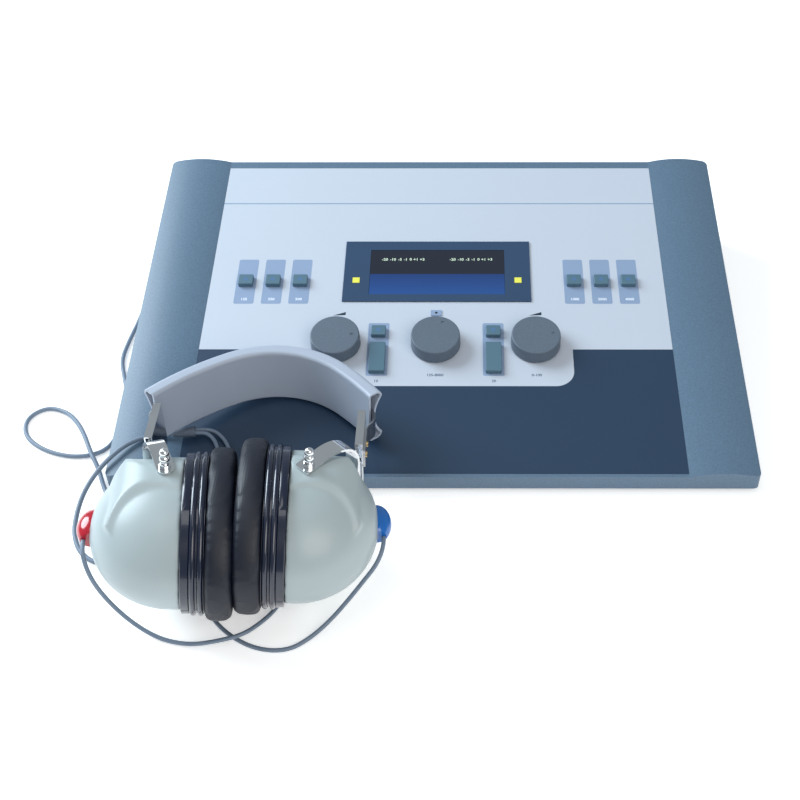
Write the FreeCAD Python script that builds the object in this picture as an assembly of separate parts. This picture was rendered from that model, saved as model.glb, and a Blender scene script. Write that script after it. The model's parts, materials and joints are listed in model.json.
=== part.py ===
import FreeCAD, Part
import math
import os
from FreeCAD import Placement, Rotation, Vector

# Desktop audiometer with its headset lying in front of it, in millimetres. Everything is drawn about
# the centre of the console's footprint, +X to the operator's right, +Y to the rear and +Z up, and is
# moved at the end so that the origin is the centre of the whole set's footprint on the table.

# ---- console: case ----
case_width = 360.0
case_depth = 250.0
case_corner_radius = 3.0
foot_height = 3.0
front_edge_height = 12.0
panel_slope = 10.5
footprint_centre_y = -53.68
shell_wall = 2.5
wing_width = 39.5
wing_crown = 2.5
bottom_thickness = 2.5
bottom_clearance = 0.3
foot_radius = 9.0
foot_inset_x = 30.0
foot_inset_y = 25.0
case_post_radius = 4.0
case_post_inset_x = 12.0
case_post_inset_y = 13.0
case_screw_radius = 1.5
case_screw_head_radius = 2.8
case_screw_head_height = 1.2
case_screw_depth = 6.0
screw_fit = 0.02

# ---- console: panel overlay and what passes through it (X and Y measured on the panel) ----
overlay_thickness = 0.3
overlay_front_margin = 2.0
overlay_length = 246.0
overlay_clearance = 0.1
opening_clearance = 0.25

bezel_width = 116.0
bezel_depth = 50.7
bezel_front = 128.0
bezel_thickness = 0.8
window_width = 84.0
window_depth = 37.5
window_front = 133.7
window_clearance = 0.1
window_thickness = 2.2
window_proud = 0.6
lcd_frame_width = 94.0
lcd_frame_depth = 46.0
lcd_frame_gap = 0.1
led_side = 4.3
led_x = 50.2
led_y = 145.3
led_proud = 1.0
led_clearance = 0.1

mic_plate_width = 6.6
mic_plate_depth = 4.3
mic_plate_thickness = 0.5
mic_y = 118.8
mic_capsule_radius = 1.9
mic_hole_radius = 0.6
mic_hole_depth = 0.4

# ---- console: keys ----
key_height = 3.0
key_travel = 1.2
key_rest_gap = 0.05
key_corner_radius = 0.8
key_flange_overlap = 0.8
key_flange_thickness = 0.8
key_edge_radius = 0.4
plunger_radius = 1.5
upper_key_width = 9.0
upper_key_depth = 8.0
upper_key_y = 144.4
upper_key_first_x = 84.7
upper_key_pitch = 16.8
lower_key_width = 8.8
lower_key_depth = 7.5
lower_key_y = 103.2
bar_key_width = 9.5
bar_key_depth = 22.0
bar_key_y = 83.1
lower_key_x = 34.3

# ---- console: knobs and encoders ----
knob_radius = 14.8
knob_top_radius = 14.5
knob_gap = 0.8
knob_top = 9.0
knob_edge_radius = 0.8
knob_pitch = 59.4
knob_y = 94.5
knob_stem_radius = 3.0
knob_stem_end = -9.2
knob_running_fit = 0.05
pointer_radius = 1.1
pointer_depth = 0.3
pointer_offset = 10.2
left_pointer_angle = 0.0
centre_pointer_angle = 65.0
right_pointer_angle = 5.0
bushing_radius = 4.0
bushing_proud = 0.4
encoder_side = 12.0
encoder_height = 6.0

# ---- console: boards ----
board_thickness = 1.6
control_board_top = -12.0
control_board_width = 250.0
control_board_front = 66.0
control_board_rear = 215.0
switch_side = 6.0
switch_height = 3.5
switch_button_height = 1.0
switch_button_radius = 1.6
board_post_radius = 3.2
board_post_x = 112.0
board_post_edge = 9.0
board_screw_radius = 1.1
board_screw_head_radius = 2.2
board_screw_head_height = 1.2
board_screw_depth = 6.0
main_board_left = -60.0
main_board_right = 70.0
main_board_front = -20.0
main_board_rear = 95.0
standoff_radius = 3.0
standoff_height = 4.0
standoff_inset = 6.0

# ---- console: rear panel, sockets and power switch ----
rear_plate_thickness = 2.0
rear_plate_overlap = 4.0
rear_opening_width = 284.0
rear_opening_low = 10.5
rear_opening_high = 34.0
socket_height = 22.0
phones_x = -120.0
response_x = -90.0
inlet_x = 95.0
rocker_x = 130.0
socket_body_side = 14.0
socket_body_length = 25.0
socket_nose_radius = 4.7
socket_nose_proud = 3.0
socket_bore_radius = 3.2
socket_bore_depth = 26.0
inlet_body_side = 11.0
inlet_body_length = 14.0
inlet_bore_radius = 2.8
inlet_bore_depth = 10.0
inlet_pin_radius = 1.0
panel_hole_clearance = 0.1
rocker_length = 16.4
rocker_width = 10.8
rocker_side_gap = 0.2
rocker_end_gap = 0.8
rocker_body_depth = 2.0
rocker_end_rise = 4.6
rocker_middle_rise = 3.2
rocker_tilt = 9.0
rocker_pin_radius = 1.0
rocker_pin_length = 0.7
rocker_running_fit = 0.05
rocker_pivot_inset = 1.5
housing_wall = 0.9
housing_flange = 1.0
housing_flange_thickness = 1.5
housing_depth = 14.0

# ---- tall components on the main board ----
processor_x = (-12.0, 6.0)
processor_y = (20.0, 38.0)
processor_height = 2.5
relay_x = (28.0, 48.0)
relay_y = (40.0, 52.0)
relay_height = 9.0
connector_x = (-40.0, 10.0)
connector_y = (78.0, 86.0)
connector_height = 8.5

# ---- headset: band frame. Band axes: a across, u towards the crown, n up out of the band's plane.
band_x = -91.85
band_y = -128.1
band_z = 40.0
band_tilt = 1.0
band_roll = 2.6
crown_a = 5.76
crown_u = 5.07
crown_turn = 5.34
crown_radius = 48.9
crown_half_angle = 35.6
shoulder_radius = 154.2
left_sleeve_end = 53.6
right_sleeve_end = 46.1
sleeve_width = 34.8
sleeve_edge_thickness = 8.5
sleeve_middle_thickness = 3.9
sleeve_groove_half_width = 13.3
sleeve_wall = 1.2
sleeve_lobe_radius = 3.4
sleeve_inner_corner = 2.0
strip_offset = 1.5
strip_thickness = 0.9
strip_width = 12.0
left_bend_radius = 6.0
right_bend_radius = 8.0
strip_tail_end = -8.2

# ---- headset: slider channel and stem ----
channel_inner_a = 52.05
channel_top = 14.3
channel_length = 25.7
channel_width = 28.0
channel_thickness = 4.2
channel_wall = 0.7
channel_strip_gap = 0.01
rivet_radius = 0.8
rivet_head_radius = 1.6
rivet_head_height = 0.8
rivet_inner_radius = 1.3
rivet_inner_height = 0.5
rivet_low_u = -4.5
rivet_high_u = 3.0
stem_thickness = 1.0
stem_inner_gap = 0.2
stem_side_gap = 0.2
stem_top_gap = 1.1
stem_blade_below = 1.5
stem_neck_half_width = 5.3
left_stem_out = 2.5
knuckle_drop = 4.0
knuckle_radius = 1.8
knuckle_half_width = 5.5
knuckle_running_fit = 0.05

# ---- headset: clevis, its pin and the swivel rivet ----
clevis_gap = 0.2
clevis_thickness = 0.9
clevis_plate_length = 9.0
clevis_ear_radius = 2.2
clevis_pin_radius = 0.85
clevis_pin_fit = 0.02
pin_head_radius = 1.6
pin_head_height = 0.6
swivel_gap = 0.05
swivel_rivet_radius = 1.5
swivel_running_fit = 0.05
swivel_head_radius = 2.4
swivel_head_height = 0.6
left_lean = 23.96
right_lean = 39.3
left_swivel = 5.4
right_swivel = 5.0

# ---- headset: yoke and studs ----
yoke_width = 8.6
yoke_thickness = 1.2
yoke_crown_half = 10.5
yoke_leg_centre = 34.2
yoke_stud_drop = 32.3
yoke_tab_length = 5.0
left_tab_corner = 4.2
right_tab_corner = 1.0
stud_radius = 1.6
stud_running_fit = 0.1
stud_screw_fit = 0.02
stud_depth = 5.0
stud_gap = 0.1
stud_collar_radius = 3.0
stud_collar_height = 2.2
stud_ball_radius = 2.6
stud_ball_height = 4.4
stud_knob_radius = 2.4
stud_knob_height = 8.4
stud_head_radius = 4.0
stud_head_height = 1.6
left_cup_tilt = 17.6
right_cup_tilt = 42.7

# ---- headset: cup. Cup axes: +X outward along the dome, +Y up towards the yoke, +Z across.
cup_half_height = 41.0
cup_half_width = 31.8
cup_skirt = 5.0
cup_depth = 45.0
cup_wall = 2.2
cup_pivot_x = 9.2
cup_pivot_y = 11.0
plateau_half_width = 33.2
plateau_low = -20.0
plateau_high = 27.5
plateau_corner = 18.0
plateau_end_x = 38.0
plateau_end_corner = 24.0
plateau_inset = 2.2
plateau_rim_gap = 0.5
plateau_foot_y = -0.6
plateau_fall = Vector(0.107, -0.484, 0.868)
stud_boss_radius = 4.0
stud_boss_length = 5.5
ring_half_height = 42.5
ring_half_width = 35.0
ring_plate_thickness = 2.0
ring_thickness = 4.0
rib_half_height = 43.5
rib_half_width = 36.0
rib_groove_depth = 1.0
rib_band = 7.0
cushion_half_height = 47.0
cushion_half_width = 36.8
cushion_thickness = 12.0
cushion_edge_radius = 5.0
ear_half_height = 27.0
ear_half_width = 21.0
receiver_radius = 20.0
receiver_fit = 0.05
receiver_depth = 16.0
receiver_recess = 0.4
receiver_hole_radius = 9.0
cap_centre_x = 43.5
cap_centre_y = 2.0
cap_half_depth = 8.0
cap_half_length = 11.0
cap_half_width = 7.0
cap_lead_x = 47.5
cap_mouth_y = -5.75

# ---- cords ----
cable_diameter = 2.6
lead_diameter = 2.2
lay = 0.05
plug_pin_radius = 3.1
plug_pin_length = 24.0
plug_gap = 0.3
plug_handle_radius = 5.8
plug_handle_length = 24.0
plug_relief_length = 18.0
plug_relief_radius = 1.9
coil_x = -85.0
coil_y = 165.0
coil_mid_radius = 15.0
coil_bundle_radius = 5.7
splitter_wide_radius = 3.1
splitter_narrow_radius = 1.9
splitter_start = Vector(-145.2, -99.9, 20.6)
splitter_end = Vector(-133.1, -98.5, 20.9)

slope = math.radians(panel_slope)
half_width = case_width / 2
half_depth = case_depth / 2
panel_width = case_width - 2 * wing_width
crown_end = math.radians(crown_half_angle)
X_AXIS = Vector(1, 0, 0)
Y_AXIS = Vector(0, 1, 0)
Z_AXIS = Vector(0, 0, 1)
TALL = 400.0


# ---- small shape helpers ----
def box(x, y, z):
    """Box from three (low, high) pairs."""
    return Part.makeBox(x[1] - x[0], y[1] - y[0], z[1] - z[0], Vector(x[0], y[0], z[0]))


def centred_box(x, y, width, depth, z):
    return box((x - width / 2, x + width / 2), (y - depth / 2, y + depth / 2), z)


def cylinder(radius, start, direction, length):
    return Part.makeCylinder(radius, length, start, direction)


def upright_edges(shape):
    return [e for e in shape.Edges if abs(e.tangentAt(e.FirstParameter).z) > 0.99]


def rounded_block(x, y, width, depth, z, corner):
    """Block with rounded upright edges."""
    block = centred_box(x, y, width, depth, z)
    return block.makeFillet(corner, upright_edges(block))


def key_cap(x, y, width, depth, z):
    """Rounded block whose top edge is softened too."""
    block = rounded_block(x, y, width, depth, z, key_corner_radius)
    top = [e for e in block.Edges if e.BoundBox.ZMin > z[1] - 0.01]
    return block.makeFillet(key_edge_radius, top)


def polygon_prism(points, direction):
    return Part.Face(Part.makePolygon(points + points[:1])).extrude(direction)


def fused(shapes):
    body = shapes[0]
    if len(shapes) > 1:
        body = shapes[0].multiFuse(shapes[1:])
    return body.removeSplitter()


def placed(shape, placement):
    copy = shape.copy()
    copy.Placement = placement.multiply(copy.Placement)
    return copy


def elliptic_block(half_y, half_z, x):
    """Elliptic disc along X between two stations."""
    ellipse = Part.Ellipse(Vector(x[0], 0, 0), max(half_y, half_z), min(half_y, half_z))
    edge = ellipse.toShape()
    edge.rotate(Vector(x[0], 0, 0), Y_AXIS, 90)
    edge.rotate(Vector(x[0], 0, 0), X_AXIS, 90)
    return Part.Face(Part.Wire([edge])).extrude(Vector(x[1] - x[0], 0, 0))


# ---- frames ----
set_frame = Placement(Vector(0, -footprint_centre_y, 0), Rotation())
panel_frame = Placement(Vector(0, -half_depth, front_edge_height), Rotation(X_AXIS, panel_slope))


def on_panel(shape):
    return placed(shape, panel_frame)


def panel_height(y):
    return front_edge_height + (y + half_depth) * math.tan(slope)


band_frame = Placement(
    Vector(band_x, band_y, band_z), Rotation(Y_AXIS, band_roll).multiply(Rotation(X_AXIS, band_tilt))
)
arch_in_band = Placement(Vector(crown_a, crown_u, 0), Rotation(Z_AXIS, -crown_turn))
strip_middle = strip_offset + strip_thickness / 2
shoulder_a = (crown_radius - shoulder_radius) * math.sin(crown_end)
shoulder_u = (crown_radius - shoulder_radius) * math.cos(crown_end)
channel_outer_a = channel_inner_a + channel_thickness
channel_bottom = channel_top - channel_length
tail_a = channel_outer_a + channel_strip_gap + strip_thickness / 2
stem_a = channel_inner_a + channel_wall + stem_inner_gap + stem_thickness / 2
knuckle_u = channel_bottom - knuckle_drop
sides = {"left": -1, "right": 1}
lean = {"left": left_lean, "right": right_lean}
swivel = {"left": left_swivel, "right": right_swivel}
cup_tilt = {"left": left_cup_tilt, "right": right_cup_tilt}
tab_corner = {"left": left_tab_corner, "right": right_tab_corner}
stem_out = {"left": left_stem_out, "right": 0.0}
sleeve_end = {"left": left_sleeve_end, "right": right_sleeve_end}
bend_radius = {"left": left_bend_radius, "right": right_bend_radius}


def side_frame(side):
    """Right half: the band frame. Left half: the same turned half a turn about the band's u axis."""
    half_turn = 0 if side == "right" else 180
    return band_frame.multiply(Placement(Vector(), Rotation(Y_AXIS, half_turn)))


def clevis_frame(side):
    """At the clevis pin: Y along the clevis, X outward, Z along the pin."""
    turn = Rotation(Z_AXIS, -lean[side])
    return side_frame(side).multiply(Placement(Vector(stem_a, knuckle_u - stem_out[side], 0), turn))


clevis_plate_near = knuckle_radius + clevis_gap + swivel_head_height
clevis_plate_far = clevis_plate_near + clevis_thickness
yoke_seat = clevis_plate_far + swivel_gap


def yoke_frame(side):
    """At the middle of the yoke's crown, on the swivel rivet."""
    origin = Vector(0, -yoke_seat - yoke_thickness / 2, 0)
    return clevis_frame(side).multiply(Placement(origin, Rotation(Y_AXIS, swivel[side])))


def cup_frame(side):
    """At the centre of the cup's rim."""
    at_stud = Placement(Vector(0, -yoke_stud_drop, 0), Rotation(Z_AXIS, cup_tilt[side]))
    to_rim = Placement(Vector(-cup_pivot_x, -cup_pivot_y, 0), Rotation())
    return yoke_frame(side).multiply(at_stud).multiply(to_rim)


# ---- console: shapes ----
def case_block(inset, low, roof):
    """Volume under a plane parallel to the panel, inset from the case's outline."""
    corner = max(case_corner_radius - inset, 0.5)
    outline = rounded_block(0, 0, case_width - 2 * inset, case_depth - 2 * inset, (low, TALL), corner)
    under = on_panel(box((-case_width, case_width), (-TALL, TALL), (-TALL, roof)))
    return outline.common(under)


def wing(side):
    """Crowned strip that runs the full depth beside the panel overlay."""
    outer = side * (half_width + 1)
    inner = side * panel_width / 2
    middle = side * (panel_width / 2 + wing_width / 2)
    edge = side * half_width
    arc = Part.Arc(Vector(inner, 0, 0), Vector(middle, 0, wing_crown), Vector(edge, 0, 0)).toShape()
    lines = Part.makePolygon(
        [Vector(edge, 0, 0), Vector(outer, 0, 0), Vector(outer, 0, -1), Vector(inner, 0, -1), Vector(inner, 0, 0)]
    )
    section = Part.Face(Part.Wire([arc] + lines.Edges))
    section.translate(Vector(0, -TALL / 4, 0))
    strip = on_panel(section.extrude(Vector(0, TALL, 0)))
    outline = rounded_block(0, 0, case_width, case_depth, (foot_height, TALL), case_corner_radius)
    return strip.common(outline)


def key_places():
    """Name, X, Y, width and depth of every key."""
    places = []
    for side_name, side in sides.items():
        for index, place in enumerate(("inner", "middle", "outer")):
            x = side * (upper_key_first_x + index * upper_key_pitch)
            places.append((f"key_{side_name}_{place}", x, upper_key_y, upper_key_width, upper_key_depth))
        x = side * lower_key_x
        places.append((f"key_{side_name}_lower", x, lower_key_y, lower_key_width, lower_key_depth))
        places.append((f"bar_{side_name}", x, bar_key_y, bar_key_width, bar_key_depth))
    return places


knob_places = {
    "knob_left": (-knob_pitch, left_pointer_angle),
    "knob_centre": (0.0, centre_pointer_angle),
    "knob_right": (knob_pitch, right_pointer_angle),
}
plunger_end = control_board_top + switch_height + switch_button_height + key_travel + key_rest_gap
board_post_places = [
    (x, y)
    for x in (-board_post_x, board_post_x)
    for y in (control_board_front + board_post_edge, control_board_rear - board_post_edge)
]
case_post_places = [
    (x, y)
    for x in (case_post_inset_x - half_width, half_width - case_post_inset_x)
    for y in (case_post_inset_y - half_depth, half_depth - case_post_inset_y)
]


def panel_openings(extra, z):
    """Everything that passes through the panel, with clearance, between two heights."""
    cuts = []
    for _, x, y, width, depth in key_places():
        grown = 2 * (opening_clearance + extra)
        cuts.append(rounded_block(x, y, width + grown, depth + grown, z, key_corner_radius))
    for x, _ in knob_places.values():
        start = Vector(x, knob_y, z[0])
        cuts.append(cylinder(bushing_radius + opening_clearance + extra, start, Z_AXIS, z[1] - z[0]))
    window_y = window_front + window_depth / 2
    cuts.append(centred_box(0, window_y, window_width, window_depth, z))
    led_hole = led_side + 2 * led_clearance
    for x in (-led_x, led_x):
        cuts.append(centred_box(x, led_y, led_hole, led_hole, z))
    mic_start = Vector(0, mic_y, z[0])
    cuts.append(cylinder(mic_capsule_radius + opening_clearance, mic_start, Z_AXIS, z[1] - z[0]))
    return cuts


def rear_opening():
    y = (half_depth - shell_wall - 1, half_depth + 1)
    half = rear_opening_width / 2
    return box((-half, half), y, (rear_opening_low, rear_opening_high))


def screw_hole_depth(x, y):
    start = Vector(x, y, foot_height + case_screw_head_height)
    return cylinder(case_screw_radius + screw_fit, start, Z_AXIS, bottom_thickness + case_screw_depth)


def top_cover():
    outer = fused([case_block(0, foot_height, 0), wing(-1), wing(1)])
    cavity = case_block(shell_wall, foot_height - 1, -shell_wall)
    plate_top = foot_height + bottom_thickness
    posts = [cylinder(case_post_radius, Vector(x, y, plate_top), Z_AXIS, TALL) for x, y in case_post_places]
    board_span = -shell_wall - control_board_top
    posts += [
        on_panel(cylinder(board_post_radius, Vector(x, y, control_board_top), Z_AXIS, board_span))
        for x, y in board_post_places
    ]
    cavity = cavity.cut(posts)
    recess_x = panel_width / 2 + overlay_clearance
    recess_y = (overlay_front_margin - overlay_clearance, overlay_front_margin + overlay_length + overlay_clearance)
    recess = on_panel(box((-recess_x, recess_x), recess_y, (-overlay_thickness, wing_crown)))
    cuts = [cavity, recess, rear_opening()]
    cuts += [on_panel(cut) for cut in panel_openings(0, (-shell_wall - 1, 1))]
    cuts += [screw_hole_depth(x, y) for x, y in case_post_places]
    for x, y in board_post_places:
        hole = cylinder(board_screw_radius + screw_fit, Vector(x, y, control_board_top), Z_AXIS, board_screw_depth)
        cuts.append(on_panel(hole))
    return outer.cut(cuts)


def main_board_corners():
    return [
        (x, y)
        for x in (main_board_left + standoff_inset, main_board_right - standoff_inset)
        for y in (main_board_front + standoff_inset, main_board_rear - standoff_inset)
    ]


def bottom_plate():
    inset = shell_wall + bottom_clearance
    top = foot_height + bottom_thickness
    plate = rounded_block(0, 0, case_width - 2 * inset, case_depth - 2 * inset, (foot_height, top), 1.0)
    standoffs = [
        cylinder(standoff_radius, Vector(x, y, top), Z_AXIS, standoff_height) for x, y in main_board_corners()
    ]
    body = fused([plate] + standoffs)
    cuts = []
    for x, y in case_post_places:
        head = case_screw_head_radius + screw_fit
        cuts.append(cylinder(head, Vector(x, y, foot_height - 1), Z_AXIS, case_screw_head_height + 1))
        cuts.append(screw_hole_depth(x, y))
    return body.cut(cuts)


def rubber_feet():
    feet = []
    for x in (foot_inset_x - half_width, half_width - foot_inset_x):
        for y in (foot_inset_y - half_depth, half_depth - foot_inset_y):
            feet.append(Part.makeCone(foot_radius - 1, foot_radius, foot_height, Vector(x, y, 0)))
    return Part.makeCompound(feet)


def case_screws():
    screws = []
    for x, y in case_post_places:
        head_start = Vector(x, y, foot_height)
        shank_start = Vector(x, y, foot_height + case_screw_head_height)
        shank = bottom_thickness - case_screw_head_height + case_screw_depth - 1
        head = cylinder(case_screw_head_radius, head_start, Z_AXIS, case_screw_head_height)
        screws.append(fused([head, cylinder(case_screw_radius, shank_start, Z_AXIS, shank)]))
    for x, y in board_post_places:
        under = control_board_top - board_thickness
        head_start = Vector(x, y, under - board_screw_head_height)
        head = cylinder(board_screw_head_radius, head_start, Z_AXIS, board_screw_head_height)
        shank = cylinder(board_screw_radius, Vector(x, y, under), Z_AXIS, board_thickness + board_screw_depth - 1)
        screws.append(on_panel(fused([head, shank])))
    return Part.makeCompound(screws)


def panel_overlay():
    y = (overlay_front_margin, overlay_front_margin + overlay_length)
    sheet = box((-panel_width / 2, panel_width / 2), y, (-overlay_thickness, 0))
    return on_panel(sheet.cut(panel_openings(0, (-1, 1))))


def display_bezel():
    plate = centred_box(0, bezel_front + bezel_depth / 2, bezel_width, bezel_depth, (0, bezel_thickness))
    window_y = window_front + window_depth / 2
    cuts = [centred_box(0, window_y, window_width, window_depth, (-1, 2))]
    for x in (-led_x, led_x):
        side = led_side + 2 * led_clearance
        cuts.append(centred_box(x, led_y, side, side, (-1, 2)))
    return on_panel(plate.cut(cuts))


def display_window():
    grown = 2 * window_clearance
    y = window_front + window_depth / 2
    z = (window_proud - window_thickness, window_proud)
    return on_panel(centred_box(0, y, window_width - grown, window_depth - grown, z))


def lcd_module():
    y = window_front + window_depth / 2
    grown = 4 * window_clearance
    glass_top = window_proud - window_thickness
    frame_top = -shell_wall - lcd_frame_gap
    glass = centred_box(0, y, window_width - grown, window_depth - grown, (frame_top - 1, glass_top))
    frame = centred_box(0, y, lcd_frame_width, lcd_frame_depth, (control_board_top, frame_top))
    return on_panel(fused([frame, glass]))


def status_leds():
    lamps = [centred_box(x, led_y, led_side, led_side, (control_board_top, led_proud)) for x in (-led_x, led_x)]
    return on_panel(Part.makeCompound(lamps))


def talk_mic():
    plate = centred_box(0, mic_y, mic_plate_width, mic_plate_depth, (0, mic_plate_thickness))
    capsule = cylinder(mic_capsule_radius, Vector(0, mic_y, control_board_top), Z_AXIS, -control_board_top)
    hole_start = Vector(0, mic_y, mic_plate_thickness - mic_hole_depth)
    hole = cylinder(mic_hole_radius, hole_start, Z_AXIS, mic_hole_depth + 1)
    return on_panel(fused([plate, capsule]).cut(hole))


def control_board():
    z = (control_board_top - board_thickness, control_board_top)
    half = control_board_width / 2
    board = box((-half, half), (control_board_front, control_board_rear), z)
    cuts = [
        cylinder(board_screw_radius + screw_fit, Vector(x, y, z[0] - 1), Z_AXIS, board_thickness + 2)
        for x, y in board_post_places
    ]
    return on_panel(board.cut(cuts))


def panel_switchgear():
    """Push switches under the keys and rotary encoders under the knobs."""
    pieces = []
    top = control_board_top + switch_height
    for _, x, y, _, _ in key_places():
        body = centred_box(x, y, switch_side, switch_side, (control_board_top, top))
        button = cylinder(switch_button_radius, Vector(x, y, top), Z_AXIS, switch_button_height)
        pieces.append(fused([body, button]))
    for x, _ in knob_places.values():
        encoder_top = control_board_top + encoder_height
        body = centred_box(x, knob_y, encoder_side, encoder_side, (control_board_top, encoder_top))
        bushing = cylinder(bushing_radius, Vector(x, knob_y, encoder_top), Z_AXIS, bushing_proud - encoder_top)
        bore_start = knob_stem_end - knob_gap
        bore = cylinder(knob_stem_radius + knob_running_fit, Vector(x, knob_y, bore_start), Z_AXIS, TALL / 4)
        pieces.append(fused([body, bushing]).cut(bore))
    return on_panel(Part.makeCompound(pieces))


def key(x, y, width, depth):
    under = -shell_wall - key_rest_gap
    cap = key_cap(x, y, width, depth, (under - key_flange_thickness / 2, key_height))
    grown = 2 * key_flange_overlap
    flange = centred_box(x, y, width + grown, depth + grown, (under - key_flange_thickness, under))
    plunger = cylinder(plunger_radius, Vector(x, y, plunger_end), Z_AXIS, under - plunger_end)
    return on_panel(fused([cap, flange, plunger]))


def knob(x, angle):
    body = Part.makeCone(knob_radius, knob_top_radius, knob_top - knob_gap, Vector(x, knob_y, knob_gap))
    rim = [e for e in body.Edges if e.BoundBox.ZMin > knob_top - 0.01 and e.Length > knob_radius]
    body = body.makeFillet(knob_edge_radius, rim)
    stem = cylinder(knob_stem_radius, Vector(x, knob_y, knob_stem_end), Z_AXIS, knob_gap + 1 - knob_stem_end)
    turn = math.radians(angle)
    dot = Vector(x + pointer_offset * math.cos(turn), knob_y + pointer_offset * math.sin(turn), knob_top - pointer_depth)
    return on_panel(fused([body, stem]).cut(cylinder(pointer_radius, dot, Z_AXIS, 1)))


def main_board():
    z = foot_height + bottom_thickness + standoff_height
    top = z + board_thickness
    board = box((main_board_left, main_board_right), (main_board_front, main_board_rear), (z, top))
    processor = box(processor_x, processor_y, (top, top + processor_height))
    relay = box(relay_x, relay_y, (top, top + relay_height))
    connector = box(connector_x, connector_y, (top, top + connector_height))
    return fused([board, processor, relay, connector])


# ---- rear of the console ----
rear_plate_face = half_depth - shell_wall
rear_plate_inner = rear_plate_face - rear_plate_thickness
housing_inner_length = rocker_length + 2 * rocker_end_gap
housing_inner_width = rocker_width + 2 * rocker_side_gap
housing_length = housing_inner_length + 2 * housing_wall
housing_width = housing_inner_width + 2 * housing_wall
rocker_pivot = Vector(rocker_x, rear_plate_face + housing_flange_thickness - 2 * rocker_pivot_inset, socket_height)


def rear_panel():
    half = rear_opening_width / 2 + rear_plate_overlap
    z = (rear_opening_low - rear_plate_overlap, rear_opening_high + rear_plate_overlap)
    plate = box((-half, half), (rear_plate_inner, rear_plate_face), z)
    cuts = []
    for x in (phones_x, response_x):
        start = Vector(x, rear_plate_inner - 1, socket_height)
        cuts.append(cylinder(socket_nose_radius + panel_hole_clearance, start, Y_AXIS, rear_plate_thickness + 2))
    y = (rear_plate_inner - 1, rear_plate_face + 1)
    side = inlet_body_side / 2 + panel_hole_clearance
    cuts.append(box((inlet_x - side, inlet_x + side), y, (socket_height - side, socket_height + side)))
    half_x = housing_width / 2 + panel_hole_clearance
    half_z = housing_length / 2 + panel_hole_clearance
    cuts.append(box((rocker_x - half_x, rocker_x + half_x), y, (socket_height - half_z, socket_height + half_z)))
    return plate.cut(cuts)


def phone_socket(x):
    half = socket_body_side / 2
    y = (rear_plate_inner - socket_body_length, rear_plate_inner)
    body = box((x - half, x + half), y, (socket_height - half, socket_height + half))
    nose_length = rear_plate_thickness + socket_nose_proud
    nose = cylinder(socket_nose_radius, Vector(x, rear_plate_inner, socket_height), Y_AXIS, nose_length)
    bore_start = Vector(x, rear_plate_inner + nose_length - socket_bore_depth, socket_height)
    return fused([body, nose]).cut(cylinder(socket_bore_radius, bore_start, Y_AXIS, socket_bore_depth + 1))


def power_inlet():
    half = inlet_body_side / 2
    y = (rear_plate_face - inlet_body_length, rear_plate_face)
    body = box((inlet_x - half, inlet_x + half), y, (socket_height - half, socket_height + half))
    start = Vector(inlet_x, rear_plate_face - inlet_bore_depth, socket_height)
    bore = cylinder(inlet_bore_radius, start, Y_AXIS, inlet_bore_depth + 1)
    pin = cylinder(inlet_pin_radius, start - Vector(0, 1, 0), Y_AXIS, inlet_bore_depth)
    return fused([body.cut(bore), pin])


def switch_housing():
    outer_y = rear_plate_face + housing_flange_thickness
    half_x = housing_width / 2
    half_z = housing_length / 2
    body = box(
        (rocker_x - half_x, rocker_x + half_x),
        (rear_plate_face - housing_depth, outer_y),
        (socket_height - half_z, socket_height + half_z),
    )
    flange_x = half_x + housing_flange
    flange_z = half_z + housing_flange
    flange = box(
        (rocker_x - flange_x, rocker_x + flange_x),
        (rear_plate_face, outer_y),
        (socket_height - flange_z, socket_height + flange_z),
    )
    inner_x = housing_inner_width / 2
    inner_z = housing_inner_length / 2
    pocket = box(
        (rocker_x - inner_x, rocker_x + inner_x),
        (rear_plate_face - housing_depth + 2 * housing_wall, outer_y + 1),
        (socket_height - inner_z, socket_height + inner_z),
    )
    span = rocker_width + 2 * rocker_pin_length + rocker_running_fit
    start = rocker_pivot - Vector(span / 2, 0, 0)
    pivot_hole = cylinder(rocker_pin_radius + rocker_running_fit, start, X_AXIS, span)
    return fused([body, flange]).cut([pocket, pivot_hole])


def rear_sockets():
    return Part.makeCompound([phone_socket(phones_x), phone_socket(response_x), power_inlet(), switch_housing()])


def power_rocker():
    half = rocker_length / 2
    outline = [
        Vector(0, -rocker_body_depth, -half),
        Vector(0, -rocker_body_depth, half),
        Vector(0, rocker_end_rise, half),
        Vector(0, rocker_middle_rise, 0),
        Vector(0, rocker_end_rise, -half),
    ]
    body = polygon_prism(outline, Vector(rocker_width, 0, 0))
    body.translate(Vector(-rocker_width / 2, 0, 0))
    span = rocker_width + 2 * rocker_pin_length
    pin = cylinder(rocker_pin_radius, Vector(-span / 2, 0, 0), X_AXIS, span)
    return placed(fused([body, pin]), Placement(rocker_pivot, Rotation(X_AXIS, -rocker_tilt)))


# ---- headset: band ----
def arch_piece(section, a, u, start_angle, turn):
    """Section drawn at a distance up u, swept about an axis along n through (a, u)."""
    piece = section.copy()
    piece.rotate(Vector(), Z_AXIS, -start_angle)
    piece = piece.revolve(Vector(), Z_AXIS, -turn)
    piece.translate(Vector(a, u, 0))
    return piece


def arch(section_at):
    """Crown arc and two shoulder arcs; section_at(radius) gives the section at that radius."""
    pieces = [arch_piece(section_at(crown_radius), 0, 0, -crown_half_angle, 2 * crown_half_angle)]
    right_turn = right_sleeve_end - crown_half_angle
    left_turn = left_sleeve_end - crown_half_angle
    section = section_at(shoulder_radius)
    pieces.append(arch_piece(section, shoulder_a, shoulder_u, crown_half_angle, right_turn))
    pieces.append(arch_piece(section, -shoulder_a, shoulder_u, -left_sleeve_end, left_turn))
    return pieces


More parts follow.
